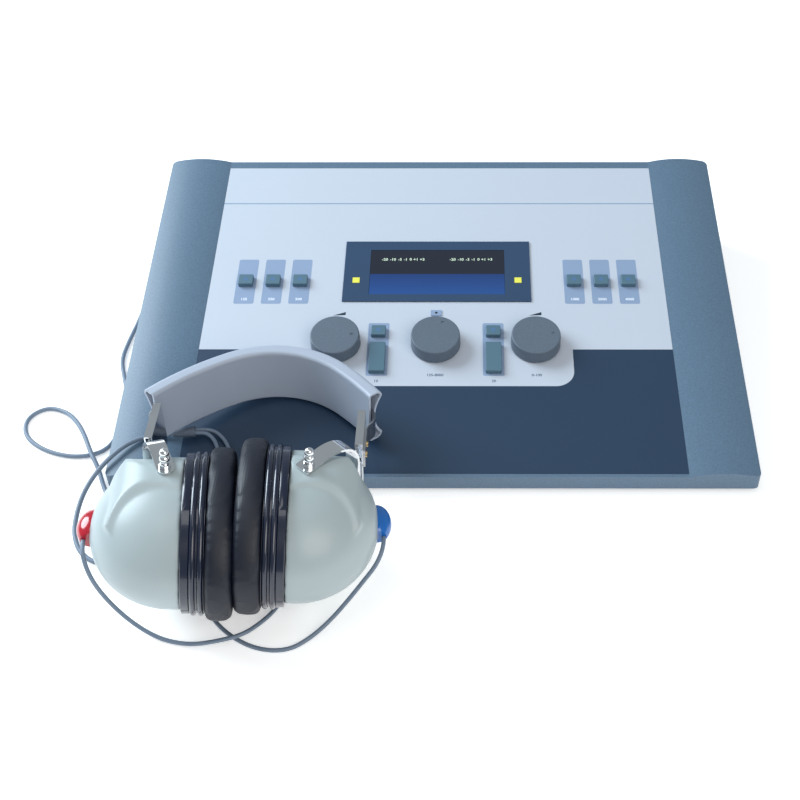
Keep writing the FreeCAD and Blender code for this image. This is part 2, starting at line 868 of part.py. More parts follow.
def quarter_arc(centre, radius, y_side, z_side):
    """Arc of a rounded corner, from its point along Y to its point along Z."""
    reach = radius * math.sqrt(0.5)
    start = centre + Vector(0, y_side * radius, 0)
    middle = centre + Vector(0, y_side * reach, z_side * reach)
    return Part.Arc(start, middle, centre + Vector(0, 0, z_side * radius)).toShape()


def sleeve_section(radius, wall):
    """Bone-shaped section: flat inside, thick rounded edges, grooved along the outer face."""
    half = sleeve_width / 2 - wall
    groove_drop = sleeve_edge_thickness - sleeve_middle_thickness
    groove_radius = (sleeve_groove_half_width**2 + groove_drop**2) / (2 * groove_drop)
    centre = sleeve_middle_thickness + groove_radius
    inner = radius + wall
    outer = radius + sleeve_edge_thickness - wall
    reach = groove_radius + wall
    groove_half = math.sqrt(reach**2 - (centre - sleeve_edge_thickness + wall) ** 2)
    lobe = sleeve_lobe_radius - wall
    corner = sleeve_inner_corner - wall
    lip = Vector(0, outer, groove_half)
    other_lip = Vector(0, outer, -groove_half)
    edges = [Part.Arc(lip, Vector(0, radius + centre - reach, 0), other_lip).toShape()]
    for z_side in (1, -1):
        side_z = z_side * half
        edges.append(quarter_arc(Vector(0, outer - lobe, side_z - z_side * lobe), lobe, 1, z_side))
        edges.append(quarter_arc(Vector(0, inner + corner, side_z - z_side * corner), corner, -1, z_side))
        edges.append(Part.makeLine(Vector(0, outer - lobe, side_z), Vector(0, inner + corner, side_z)))
        lobe_start = Vector(0, outer, side_z - z_side * lobe)
        edges.append(Part.makeLine(Vector(0, outer, z_side * groove_half), lobe_start))
    flat = half - corner
    edges.append(Part.makeLine(Vector(0, inner, flat), Vector(0, inner, -flat)))
    return Part.Face(Part.Wire(Part.__sortEdges__(edges)))


def headband_sleeve():
    skin = fused(arch(lambda radius: sleeve_section(radius, 0)))
    hollow = fused(arch(lambda radius: sleeve_section(radius, sleeve_wall)))
    return placed(skin.cut(hollow), band_frame.multiply(arch_in_band))


def strip_section(radius):
    low = radius + strip_offset
    high = low + strip_thickness
    half = strip_width / 2
    corners = [Vector(0, low, -half), Vector(0, high, -half), Vector(0, high, half), Vector(0, low, half)]
    return Part.Face(Part.makePolygon(corners + corners[:1]))


def strip_ends(side):
    """S-bend from the sleeve's end to the channel's outer face, and the straight tail riveted there."""
    outward = sides[side]
    radius = bend_radius[side]
    angle = math.radians(sleeve_end[side])
    reach = shoulder_radius + strip_middle
    leave = Vector(outward * (shoulder_a + reach * math.sin(angle)), shoulder_u + reach * math.cos(angle), 0)
    leave = arch_in_band.multVec(leave)
    heading = sleeve_end[side] + outward * crown_turn
    start_a = outward * leave.x - radius * math.sin(math.radians(heading))
    start_u = leave.y - radius * math.cos(math.radians(heading))
    bend = math.acos((tail_a - start_a + radius) / (2 * radius))
    end_a = start_a + 2 * radius * math.cos(bend)
    end_u = start_u - 2 * radius * math.sin(bend)
    bend_turn = math.degrees(bend)
    section = strip_section(radius - strip_middle)
    half = strip_thickness / 2
    pieces = [
        arch_piece(section, start_a, start_u, heading, 90 + bend_turn - heading),
        arch_piece(section, end_a, end_u, 270, bend_turn),
        box((tail_a - half, tail_a + half), (strip_tail_end, end_u), (-strip_width / 2, strip_width / 2)),
    ]
    return [placed(piece, side_frame(side)) for piece in pieces]


def rivet_holes(side):
    start = Vector(channel_outer_a - channel_thickness / 2, 0, 0)
    holes = []
    for u in (rivet_low_u, rivet_high_u):
        hole = cylinder(rivet_radius + screw_fit, start + Vector(0, u, 0), X_AXIS, channel_thickness)
        holes.append(placed(hole, side_frame(side)))
    return holes


def spring_band():
    """Flat spring through the sleeve, bent at both ends to lie on the slider channels."""
    pieces = [placed(piece, band_frame.multiply(arch_in_band)) for piece in arch(strip_section)]
    holes = []
    for side in sides:
        pieces += strip_ends(side)
        holes += rivet_holes(side)
    return fused(pieces).cut(holes)


def slider_channels():
    channels = []
    for side in sides:
        half = channel_width / 2
        u = (channel_bottom, channel_top)
        outer = box((channel_inner_a, channel_outer_a), u, (-half, half))
        inner_a = (channel_inner_a + channel_wall, channel_outer_a - channel_wall)
        inner = box(inner_a, (u[0] - 1, u[1] + 1), (channel_wall - half, half - channel_wall))
        channels.append(placed(outer.cut(inner), side_frame(side)).cut(rivet_holes(side)))
    return Part.makeCompound(channels)


def channel_rivets():
    """Rivets with brass heads outside, peened over inside the channel's outer wall."""
    rivets = []
    wall_inside = channel_outer_a - channel_wall
    head_a = tail_a + strip_thickness / 2
    for side in sides:
        for height in (rivet_low_u, rivet_high_u):
            start = Vector(wall_inside - rivet_inner_height, height, 0)
            peened = cylinder(rivet_inner_radius, start, X_AXIS, rivet_inner_height)
            shank = cylinder(rivet_radius, start, X_AXIS, head_a - start.x)
            head = cylinder(rivet_head_radius, Vector(head_a, height, 0), X_AXIS, rivet_head_height)
            rivets.append(placed(fused([peened, shank, head]), side_frame(side)))
    return Part.makeCompound(rivets)


# ---- headset: one side ----
def stem(side):
    a = (stem_a - stem_thickness / 2, stem_a + stem_thickness / 2)
    blade_half = channel_width / 2 - channel_wall - stem_side_gap
    blade_low = channel_bottom - stem_blade_below
    blade = box(a, (blade_low, channel_top - stem_top_gap), (-blade_half, blade_half))
    neck = box(a, (knuckle_u, blade_low), (-stem_neck_half_width, stem_neck_half_width))
    start = Vector(stem_a, knuckle_u, -knuckle_half_width)
    barrel = cylinder(knuckle_radius, start, Z_AXIS, 2 * knuckle_half_width)
    bore = cylinder(clevis_pin_radius + knuckle_running_fit, start, Z_AXIS, 2 * knuckle_half_width)
    body = fused([blade, neck, barrel]).cut(bore)
    body.translate(Vector(0, -stem_out[side], 0))
    return placed(body, side_frame(side))


clevis_ear_inner = knuckle_half_width + clevis_gap
clevis_ear_outer = clevis_ear_inner + clevis_thickness


def clevis(side):
    half = clevis_plate_length / 2
    plate_y = (-clevis_plate_far, -clevis_plate_near)
    pieces = [box((-half, half), plate_y, (-clevis_ear_outer, clevis_ear_outer))]
    for z in (clevis_ear_inner, -clevis_ear_outer):
        disc = cylinder(clevis_ear_radius, Vector(0, 0, z), Z_AXIS, clevis_thickness)
        web = box((-clevis_ear_radius, clevis_ear_radius), (plate_y[0], 0), (z, z + clevis_thickness))
        pieces += [disc, web]
    pin_start = Vector(0, 0, -clevis_ear_outer - 1)
    pin_hole = cylinder(clevis_pin_radius + clevis_pin_fit, pin_start, Z_AXIS, 2 * clevis_ear_outer + 2)
    rivet_start = Vector(0, plate_y[0] - 1, 0)
    rivet_hole = cylinder(swivel_rivet_radius + clevis_pin_fit, rivet_start, Y_AXIS, clevis_thickness + 2)
    return placed(fused(pieces).cut([pin_hole, rivet_hole]), clevis_frame(side))


def clevis_pins(side):
    """Hinge pin through the knuckle, and the rivet that the yoke swivels on."""
    length = 2 * clevis_ear_outer
    pin = cylinder(clevis_pin_radius, Vector(0, 0, -clevis_ear_outer), Z_AXIS, length)
    low_head = cylinder(pin_head_radius, Vector(0, 0, -clevis_ear_outer - pin_head_height), Z_AXIS, pin_head_height)
    high_head = cylinder(pin_head_radius, Vector(0, 0, clevis_ear_outer), Z_AXIS, pin_head_height)
    hinge_pin = fused([pin, low_head, high_head])
    yoke_far = yoke_seat + yoke_thickness + swivel_gap
    shank = cylinder(swivel_rivet_radius, Vector(0, -yoke_far, 0), Y_AXIS, yoke_far - clevis_plate_near)
    near_head = cylinder(swivel_head_radius, Vector(0, -clevis_plate_near, 0), Y_AXIS, swivel_head_height)
    far_head = cylinder(swivel_head_radius, Vector(0, -yoke_far, 0), -Y_AXIS, swivel_head_height)
    rivet = fused([shank, near_head, far_head])
    return placed(Part.makeCompound([hinge_pin, rivet]), clevis_frame(side))


def yoke_leg(side_z, corner):
    """Straight leg with its end tab, from the end of the bend to past the stud."""
    bend = yoke_leg_centre - yoke_crown_half
    half = yoke_width / 2
    low = -yoke_stud_drop - yoke_tab_length
    z = side_z * yoke_leg_centre - yoke_thickness / 2
    leg = box((-half, half), (low, -bend), (z, z + yoke_thickness))
    ends = [e for e in leg.Edges if e.BoundBox.YMax < low + 0.01 and e.BoundBox.ZLength > yoke_thickness / 2]
    return leg.makeFillet(corner, ends)


def yoke(side):
    half = yoke_width / 2
    crown_z = (-yoke_crown_half, yoke_crown_half)
    crown = box((-half, half), (-yoke_thickness / 2, yoke_thickness / 2), crown_z)
    bend = yoke_leg_centre - yoke_crown_half
    pieces = [crown]
    for side_z in (-1, 1):
        section = box((-half, half), (-yoke_thickness / 2, yoke_thickness / 2), (0, 1)).Faces
        flat = [face for face in section if face.BoundBox.ZLength < 0.01 and face.BoundBox.ZMax < 0.5][0]
        flat.translate(Vector(0, 0, side_z * yoke_crown_half))
        centre = Vector(0, -bend, side_z * yoke_crown_half)
        pieces.append(flat.revolve(centre, X_AXIS, side_z * 90))
        pieces.append(yoke_leg(side_z, tab_corner[side]))
    body = fused(pieces)
    start = Vector(0, -yoke_stud_drop, -2 * yoke_leg_centre)
    stud_hole = cylinder(stud_radius + stud_running_fit, start, Z_AXIS, 4 * yoke_leg_centre)
    rivet_hole = cylinder(swivel_rivet_radius + swivel_running_fit, Vector(0, -2, 0), Y_AXIS, 4)
    return placed(body.cut([stud_hole, rivet_hole]), yoke_frame(side))


yoke_outer = yoke_leg_centre + yoke_thickness / 2


def stud_bolts(side):
    """Pivot studs: a nut with a double knob on the upper side, a low round head below."""
    upper = sides[side]
    direction = Vector(0, 0, upper)
    centre = Vector(cup_pivot_x, cup_pivot_y, 0)
    base = yoke_outer + stud_gap
    inner = plateau_half_width - stud_depth
    shank = cylinder(stud_radius, centre + direction * inner, direction, base - inner + 1)
    collar = cylinder(stud_collar_radius, centre + direction * base, direction, stud_collar_height)
    ball = Part.makeSphere(stud_ball_radius, centre + direction * (base + stud_ball_height))
    neck = cylinder(stud_radius, centre + direction * base, direction, stud_knob_height)
    top = Part.makeSphere(stud_knob_radius, centre + direction * (base + stud_knob_height))
    visible = fused([shank, collar, ball, neck, top])
    low_shank = cylinder(stud_radius, centre - direction * inner, -direction, base - inner)
    head = cylinder(stud_head_radius, centre - direction * base, -direction, stud_head_height)
    return placed(Part.makeCompound([visible, fused([low_shank, head])]), cup_frame(side))


def dome(half_height, half_width, skirt, depth):
    """Elliptic skirt closed by half an ellipsoid; the open rim is at X = 0."""
    nose = depth - skirt
    ratio = skirt / nose
    quarter = Part.ArcOfCircle(Part.Circle(Vector(ratio, 0, 0), Z_AXIS, 1), 0, math.pi / 2).toShape()
    lines = Part.makePolygon([Vector(ratio + 1, 0, 0), Vector(), Vector(0, 1, 0), Vector(ratio, 1, 0)])
    solid = Part.Face(Part.Wire([quarter] + lines.Edges)).revolve(Vector(), X_AXIS, 360)
    scale = FreeCAD.Matrix()
    scale.scale(nose, half_height, half_width)
    return solid.transformGeometry(scale)


def plateau():
    """Raised flat on both sides of the dome that carries the studs; it falls away on its lower side."""
    block = box(
        (plateau_rim_gap, cup_depth), (plateau_low, plateau_high), (-plateau_half_width, plateau_half_width)
    )
    along_dome = [e for e in block.Edges if e.BoundBox.XLength > cup_depth / 2 and e.BoundBox.YMin > 0]
    block = block.makeFillet(plateau_corner, along_dome)
    nose = box((0, plateau_end_x), (-plateau_high, plateau_high), (-plateau_half_width, plateau_half_width))
    far_edges = [e for e in nose.Edges if e.BoundBox.XMin > plateau_end_x - 0.01]
    block = block.common(nose.makeFillet(plateau_end_corner, far_edges))
    for upper in (1, -1):
        outward = Vector(plateau_fall.x, plateau_fall.y, upper * plateau_fall.z)
        foot = Vector(0, plateau_foot_y, upper * plateau_half_width)
        beyond = centred_box(0, 0, TALL, TALL, (0, TALL))
        block = block.cut(placed(beyond, Placement(foot, Rotation(Z_AXIS, outward))))
    reach = cup_depth - cup_skirt - plateau_inset
    rise = cup_half_height - plateau_inset
    circle = Part.makeCylinder(1, 2 * plateau_half_width, Vector(0, 0, -plateau_half_width))
    scale = FreeCAD.Matrix()
    scale.scale(reach, rise, 1)
    silhouette = circle.transformGeometry(scale)
    silhouette.translate(Vector(cup_skirt, 0, 0))
    skirt = box((0, cup_skirt), (-rise, rise), (-plateau_half_width, plateau_half_width))
    return block.common(silhouette.fuse(skirt))


def cup_outer():
    return dome(cup_half_height, cup_half_width, cup_skirt, cup_depth).fuse(plateau())


def cup_shell(side):
    outer = cup_outer()
    hollow = dome(cup_half_height - cup_wall, cup_half_width - cup_wall, cup_skirt, cup_depth - cup_wall)
    bosses = []
    holes = []
    for direction in (Z_AXIS, -Z_AXIS):
        centre = Vector(cup_pivot_x, cup_pivot_y, 0)
        boss_start = centre + direction * (plateau_half_width - stud_boss_length - 1)
        bosses.append(cylinder(stud_boss_radius, boss_start, direction, stud_boss_length + 1))
        hole_start = centre + direction * (plateau_half_width - stud_depth)
        holes.append(cylinder(stud_radius + stud_screw_fit, hole_start, direction, TALL / 4))
    hollow = hollow.cut(bosses)
    return placed(outer.cut(hollow).cut(holes), cup_frame(side))


def cup_ring(side):
    """Rim plate that closes the cup, with two ribs that the cushion clips on."""
    far = -ring_thickness - rib_band
    plate = elliptic_block(ring_half_height, ring_half_width, (-ring_thickness, 0))
    rib = rib_band / 3
    pieces = [plate]
    for index in range(3):
        grown = 0 if index % 2 == 0 else -rib_groove_depth
        start = -ring_thickness - index * rib
        pieces.append(elliptic_block(rib_half_height + grown, rib_half_width + grown, (start - rib, start)))
    seat = cylinder(receiver_radius + receiver_fit, Vector(1, 0, 0), -X_AXIS, ring_plate_thickness + 2)
    opening = elliptic_block(ear_half_height, ear_half_width, (far - 1, -ring_plate_thickness))
    return placed(fused(pieces).cut([seat, opening]), cup_frame(side))


cushion_back = -ring_thickness - rib_band
cushion_front = cushion_back - cushion_thickness


def ear_cushion(side):
    pad = elliptic_block(cushion_half_height, cushion_half_width, (cushion_front, cushion_back))
    rims = [e for e in pad.Edges if e.Length > cushion_half_height and e.BoundBox.XLength < 0.01]
    pad = pad.makeFillet(cushion_edge_radius, rims)
    hole = elliptic_block(ear_half_height, ear_half_width, (cushion_front - 1, cushion_back + 1))
    return placed(pad.cut(hole), cup_frame(side))


def receiver(side):
    """Earphone driver held in the rim plate."""
    body = cylinder(receiver_radius, Vector(receiver_depth - ring_plate_thickness, 0, 0), -X_AXIS, receiver_depth)
    start = Vector(-ring_plate_thickness - 1, 0, 0)
    recess = cylinder(receiver_hole_radius, start, X_AXIS, receiver_recess + 1)
    return placed(body.cut(recess), cup_frame(side))


def lead_cap(side):
    """Coloured cap on the dome's pole that the lead enters from below."""
    scale = FreeCAD.Matrix()
    scale.scale(cap_half_depth, cap_half_length, cap_half_width)
    body = Part.makeSphere(1).transformGeometry(scale)
    body.translate(Vector(cap_centre_x, cap_centre_y, 0))
    reach = 2 * cap_half_length
    below = box((0, 2 * cup_depth), (cap_mouth_y - reach, cap_mouth_y), (-reach, reach))
    return placed(body.cut([cup_outer(), below]), cup_frame(side))


# ---- cords ----
def tube(name, points, diameter):
    """Cord whose straight runs are joined by the largest tangent arcs that the runs allow."""
    edges = []
    start = points[0]
    radii = []
    for before, corner, after in zip(points, points[1:], points[2:]):
        incoming = (corner - before).normalize()
        outgoing = (after - corner).normalize()
        turn = incoming.getAngle(outgoing)
        run = min((corner - before).Length, (after - corner).Length)
        setback = 0.45 * run
        radii.append(setback / math.tan(turn / 2))
        if radii[-1] < 5 * diameter:
            print(f"  {name}: radius {radii[-1]:.1f} at {corner.x:.0f}, {corner.y:.0f}, {corner.z:.0f}")
        enter = corner - incoming * setback
        leave = corner + outgoing * setback
        bisector = (outgoing - incoming).normalize()
        to_centre = radii[-1] / math.cos(turn / 2)
        middle = corner + bisector * (to_centre - radii[-1])
        edges.append(Part.LineSegment(start, enter).toShape())
        edges.append(Part.Arc(enter, middle, leave).toShape())
        start = leave
    edges.append(Part.LineSegment(start, points[-1]).toShape())
    path = Part.Wire(edges)
    direction = points[1] - points[0]
    ring = Part.Wire([Part.Circle(points[0], direction, diameter / 2).toShape()])
    solid = path.makePipeShell([ring], True, False)
    ideal = math.pi * diameter**2 / 4 * path.Length
    print(f"{name}: length {path.Length:.0f}, smallest radius {min(radii):.1f}, ", end="")
    lowest = min(vertex.z for vertex in solid.tessellate(0.1)[0])
    print(f"volume ratio {solid.Volume / ideal:.4f}, lowest {lowest:.2f}")
    return solid


def over_panel(x, y, diameter):
    """Centre of a cord of that diameter lying on the panel."""
    return Vector(x, y, panel_height(y) + (diameter / 2 + lay) / math.cos(slope))


def jack_plug():
    start = rear_plate_face + socket_nose_proud
    pin_start = Vector(phones_x, start - plug_pin_length + plug_gap, socket_height)
    pin = cylinder(plug_pin_radius, pin_start, Y_AXIS, plug_pin_length)
    handle_start = Vector(phones_x, start + plug_gap, socket_height)
    handle = cylinder(plug_handle_radius, handle_start, Y_AXIS, plug_handle_length)
    relief_start = handle_start + Vector(0, plug_handle_length, 0)
    relief = Part.makeCone(plug_handle_radius, plug_relief_radius, plug_relief_length, relief_start, Y_AXIS)
    return fused([pin, handle, relief])


plug_end_y = rear_plate_face + socket_nose_proud + plug_gap + plug_handle_length + plug_relief_length


def plug_cable():
    points = [
        Vector(phones_x, plug_end_y, socket_height),
        Vector(phones_x, 180, socket_height),
        Vector(-115.5, 189.5, 16.5),
        Vector(-104, 193, 9),
        Vector(-91, 183, 4.5),
    ]
    return tube("plug_cable", points, cable_diameter)


def cable_coil():
    """Outer shape of the neat coil that takes up the cable's spare length."""
    ring = Part.makeTorus(coil_mid_radius, coil_bundle_radius)
    ring.translate(Vector(coil_x, coil_y, coil_bundle_radius + lay))
    return ring


def main_cable():
    z = cable_diameter / 2 + lay
    points = [
        Vector(-88, 150, z + 1.5),
        Vector(-116, 147, z),
        Vector(-150, 140, z),
        Vector(-182, 127, z),
        Vector(-194, 100, z),
        Vector(-192, 62, z),
        Vector(-193, 27, z),
        Vector(-195.5, 5, z),
        Vector(-196.5, -14, z),
        Vector(-191, -31, z),
        Vector(-186, -46, z),
        Vector(-183.8, -64, z),
        Vector(-183.8, -81, z),
        Vector(-188.5, -95, z),
        Vector(-201.5, -99.5, z),
        Vector(-215, -97.5, z),
        Vector(-228.5, -91, z),
        Vector(-238.5, -81, z),
        Vector(-241, -67, z),
        Vector(-231.5, -57.5, z),
        Vector(-218.5, -62, z + 0.5),
        Vector(-209, -73.5, z + 3.5),
        Vector(-201.5, -86, z + 5.6),
        Vector(-194, -101.5, z + 5.6),
        Vector(-187.5, -112, z + 3),
        Vector(-182.8, -123.5, z),
        Vector(-175.5, -136, z),
        Vector(-163.5, -146.5, z),
        Vector(-156.5, -159.5, z),
        Vector(-160.5, -173.5, z),
        Vector(-173.5, -178.5, z),
        Vector(-185, -170.5, z),
        Vector(-191, -158, z + 0.8),
        Vector(-192, -145.5, z + 3),
        Vector(-190, -134, z + 7.5),
        Vector(-184.5, -123.5, z + 12.5),
        Vector(-176.5, -114, z + 17),
        Vector(-168, -106, z + 19),
        splitter_start - splitter_axis * 12.5,
        splitter_start,
    ]
    return tube("main_cable", points, cable_diameter)


splitter_axis = (splitter_end - splitter_start).normalize()
splitter_across = splitter_axis.cross(Z_AXIS).normalize()


def cable_splitter():
    """Moulded splitter: tapered towards the cable, blunt where the two leads come out."""
    length = (splitter_end - splitter_start).Length
    return Part.makeCone(splitter_narrow_radius, splitter_wide_radius, length, splitter_start, splitter_axis)


def lead_start(side):
    return splitter_end + splitter_across * (side * (lead_diameter / 2 + lay + 0.1))


def below_cap(side, x, y, z):
    """Point given from the middle of a cap's mouth, in the cup's axes."""
    return cup_frame(side).multVec(Vector(cap_lead_x + x, cap_mouth_y + y, z))


def lead_red():
    z = lead_diameter / 2 + lay
    points = [
        lead_start(-1),
        lead_start(-1) + splitter_axis * 8.5,
        over_panel(-117, -101.5, lead_diameter) + Z_AXIS * 1.2,
        over_panel(-112, -111, lead_diameter) + Z_AXIS * 0.5,
        over_panel(-109.5, -121, lead_diameter) + Z_AXIS * 0.9,
        Vector(-107.5, -130.5, z + 11),
        Vector(-105, -138.5, z + 6),
        Vector(-100, -147, z + 1.8),
        Vector(-91, -157.5, z),
        Vector(-81.5, -168.5, z),
        Vector(-74.5, -182, z),
        Vector(-73.5, -196, z),
        Vector(-77.3, -207.5, z + 0.8),
        Vector(-82.6, -217.5, z + 3.6),
        Vector(-90.5, -226.5, z + 5.4),
        Vector(-102.5, -229.8, z + 4.8),
        Vector(-115.5, -229.5, z + 1.2),
        Vector(-128.8, -226.4, z),
        Vector(-139.2, -222, z + 1.4),
        Vector(-148.2, -218, 7.3),
        Vector(-155.6, -214.8, 15),
        Vector(-160, -213.6, 24.3),
        Vector(-162.3, -213.3, 33.7),
        Vector(-164, -211.1, 41.8),
        below_cap("left", 0, -6, 0),
        below_cap("left", 0, -plug_gap, 0),
    ]
    return tube("lead_red", points, lead_diameter)


def lead_blue():
    z = lead_diameter / 2 + lay
    points = [
        lead_start(1),
        lead_start(1) + splitter_axis * 4.4,
        Vector(-124.3, -101.0, 20.3),
        Vector(-120.6, -105.7, 18.6),
        Vector(-118.3, -113.5, 15.9),
        Vector(-117.8, -122.5, 14.8),
        Vector(-118.5, -131.5, z + 9.5),
        Vector(-120, -139, z + 4.5),
        Vector(-121.5, -149, z + 0.8),
        Vector(-122, -161, z),
        Vector(-121.5, -175, z),
        Vector(-119.5, -189, z),
        Vector(-115, -202, z),
        Vector(-107.3, -214.3, z),
        Vector(-96.5, -224.5, z),
        Vector(-83, -231.5, z),
        Vector(-68.5, -232, z),
        Vector(-58, -224.8, z + 0.6),
        Vector(-48.5, -216, z + 3.6),
        Vector(-39, -207.8, 12),
        Vector(-31.8, -203, 20),
        Vector(-25.8, -199.4, 27),
        below_cap("right", 0, -6, 0),
        below_cap("right", 0, -plug_gap, 0),
    ]
    return tube("lead_blue", points, lead_diameter)


def all_parts():
    parts = {
        "top_cover": top_cover(),
        "bottom_plate": bottom_plate(),
        "rubber_feet": rubber_feet(),
        "case_screws": case_screws(),
        "panel_overlay": panel_overlay(),
        "display_bezel": display_bezel(),
        "display_window": display_window(),
        "lcd_module": lcd_module(),
        "status_leds": status_leds(),
        "talk_mic": talk_mic(),
        "control_board": control_board(),
        "panel_switchgear": panel_switchgear(),
        "main_board": main_board(),
        "rear_panel": rear_panel(),
        "rear_sockets": rear_sockets(),
        "power_rocker": power_rocker(),
        "headband_sleeve": headband_sleeve(),
        "spring_band": spring_band(),
        "slider_channels": slider_channels(),
        "channel_rivets": channel_rivets(),
        "jack_plug": jack_plug(),
        "plug_cable": plug_cable(),
        "cable_coil": cable_coil(),
        "main_cable": main_cable(),
        "cable_splitter": cable_splitter(),
        "lead_red": lead_red(),
        "lead_blue": lead_blue(),
    }
    for name, x, y, width, depth in key_places():
        parts[name] = key(x, y, width, depth)
    for name, (x, angle) in knob_places.items():
        parts[name] = knob(x, angle)
    for side in sides:
        parts[f"stem_{side}"] = stem(side)
        parts[f"clevis_{side}"] = clevis(side)
        parts[f"clevis_pins_{side}"] = clevis_pins(side)
        parts[f"yoke_{side}"] = yoke(side)
        parts[f"stud_bolts_{side}"] = stud_bolts(side)
        parts[f"cup_shell_{side}"] = cup_shell(side)
        parts[f"cup_ring_{side}"] = cup_ring(side)
        parts[f"ear_cushion_{side}"] = ear_cushion(side)
        parts[f"receiver_{side}"] = receiver(side)
        parts[f"lead_cap_{side}"] = lead_cap(side)
    return {node: placed(shape, set_frame) for node, shape in parts.items()}


if __name__ == "__main__":
    os.makedirs("parts", exist_ok=True)
    for node, shape in all_parts().items():
        shape.exportStep(f"parts/{node}.step")
        print(f"{node}: {len(shape.Solids)} solid(s), {shape.Volume:.0f} mm3, valid {shape.isValid()}")
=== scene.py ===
"""Looks of a desktop audiometer and its headset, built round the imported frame."""

import json
import math

import bmesh
import bpy
from mathutils import Matrix, Vector


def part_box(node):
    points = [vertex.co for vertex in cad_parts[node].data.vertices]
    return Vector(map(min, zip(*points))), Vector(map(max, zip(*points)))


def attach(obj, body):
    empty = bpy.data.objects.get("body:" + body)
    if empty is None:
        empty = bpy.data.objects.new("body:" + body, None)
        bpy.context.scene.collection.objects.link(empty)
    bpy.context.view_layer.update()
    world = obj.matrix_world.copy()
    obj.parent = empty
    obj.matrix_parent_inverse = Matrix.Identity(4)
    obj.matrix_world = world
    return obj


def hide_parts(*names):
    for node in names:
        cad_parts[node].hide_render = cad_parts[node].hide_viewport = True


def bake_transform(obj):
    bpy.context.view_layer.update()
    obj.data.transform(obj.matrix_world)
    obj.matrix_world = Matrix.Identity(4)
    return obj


bl_info = {
    "name": "Audiometer looks",
    "version": (1, 0, 0),
    "blender": (4, 5, 0),
    "location": "View3D > Sidebar > Audiometer",
    "description": "Builds the finishes, cords and soft pieces of a desktop audiometer with its headset",
    "category": "Add Mesh",
}

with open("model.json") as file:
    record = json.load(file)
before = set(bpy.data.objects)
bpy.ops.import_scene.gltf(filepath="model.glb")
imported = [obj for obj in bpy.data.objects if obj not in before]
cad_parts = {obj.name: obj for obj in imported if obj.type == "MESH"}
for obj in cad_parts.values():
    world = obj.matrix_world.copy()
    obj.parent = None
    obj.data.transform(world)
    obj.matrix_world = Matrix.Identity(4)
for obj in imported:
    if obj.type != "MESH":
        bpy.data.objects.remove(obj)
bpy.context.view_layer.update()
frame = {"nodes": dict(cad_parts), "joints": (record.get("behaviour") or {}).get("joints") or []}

MM = 0.001
SIDES = ("left", "right")
JOINTS = {joint["name"]: joint for joint in frame["joints"]}


# ---- places, worked out from the frame ----
console_low, console_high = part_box("top_cover")
CONSOLE = Vector((0, (console_low.y + console_high.y) / 2, 0))
PANEL_SLOPE = math.radians(10.5)
FRONT_EDGE = 12 * MM
PANEL = Matrix.Translation((0, console_low.y, FRONT_EDGE)) @ Matrix.Rotation(PANEL_SLOPE, 4, "X")
CUP_TILT = {"left": math.radians(17.6), "right": math.radians(42.7)}
CUP_PIVOT = Vector((9.2, 11.0, 0)) * MM
CAP_MOUTH = Vector((47.5, -5.75, 0)) * MM


def axes_matrix(x, y, z, origin):
    turn = Matrix((x, y, z)).transposed().to_4x4()
    return Matrix.Translation(origin) @ turn


def cup_matrix(side):
    """Rim's centre, with X outward along the dome, Y towards the yoke and Z across."""
    swivel = Vector(JOINTS[f"yoke_{side}_swivel"]["axis"])
    tilt_joint = JOINTS[f"cup_{side}_tilt"]
    across = Vector(tilt_joint["axis"])
    yoke_x = swivel.cross(across)
    tilt = CUP_TILT[side]
    x = (yoke_x * math.cos(tilt) + swivel * math.sin(tilt)).normalized()
    y = (swivel * math.cos(tilt) - yoke_x * math.sin(tilt)).normalized()
    origin = Vector(tilt_joint["pos_m"]) - x * CUP_PIVOT.x - y * CUP_PIVOT.y
    return axes_matrix(x, y, across, origin)


CUP = {side: cup_matrix(side) for side in SIDES}


# ---- colours and sizes that a user would change ----
def display_colour(red, green, blue):
    """Linear colour of a display colour given from 0 to 255."""
    return tuple((value / 255) ** 2.2 for value in (red, green, blue))


def colour_property(name, description, default):
    return bpy.props.FloatVectorProperty(
        name=name, description=description, subtype="COLOR", size=3, min=0, max=1, default=default
    )


def length_property(name, description, default):
    return bpy.props.FloatProperty(
        name=name, description=description, unit="LENGTH", subtype="DISTANCE", min=0, default=default
    )


class ConsoleLooks(bpy.types.PropertyGroup):
    """Finishes and printing of the console."""

    housing: colour_property("Housing", "Moulded case", display_colour(86, 108, 129))
    base: colour_property("Base", "Bottom plate", display_colour(70, 78, 88))
    film: colour_property("Film", "Pale part of the printed film", display_colour(184, 192, 205))
    dark_field: colour_property("Dark field", "Dark part of the film", display_colour(40, 59, 81))
    plate: colour_property("Plates", "Printed plates behind the keys", display_colour(132, 151, 180))
    bezel: colour_property("Bezel", "Display surround", display_colour(49, 70, 97))
    key: colour_property("Keys", "Key caps", display_colour(80, 108, 124))
    knob: colour_property("Knobs", "Knob bodies", display_colour(87, 99, 113))
    lamp: colour_property("Lamps", "Status lamps", display_colour(206, 204, 84))
    divider_y: length_property("Divider", "Distance of the divider line up the panel", 214 * MM)
    field_y: length_property("Field edge", "Top of the dark field", 90.4 * MM)
    tongue_y: length_property("Tongue", "Bottom of the pale tongue", 62.9 * MM)
    tongue_half: length_property("Tongue half width", "Half width of the pale tongue", 81.3 * MM)
    tongue_corner: length_property("Tongue corner", "Corner radius of the tongue", 11 * MM)
    print_height: length_property("Ink height", "Height of the printed pieces", 0.03 * MM)


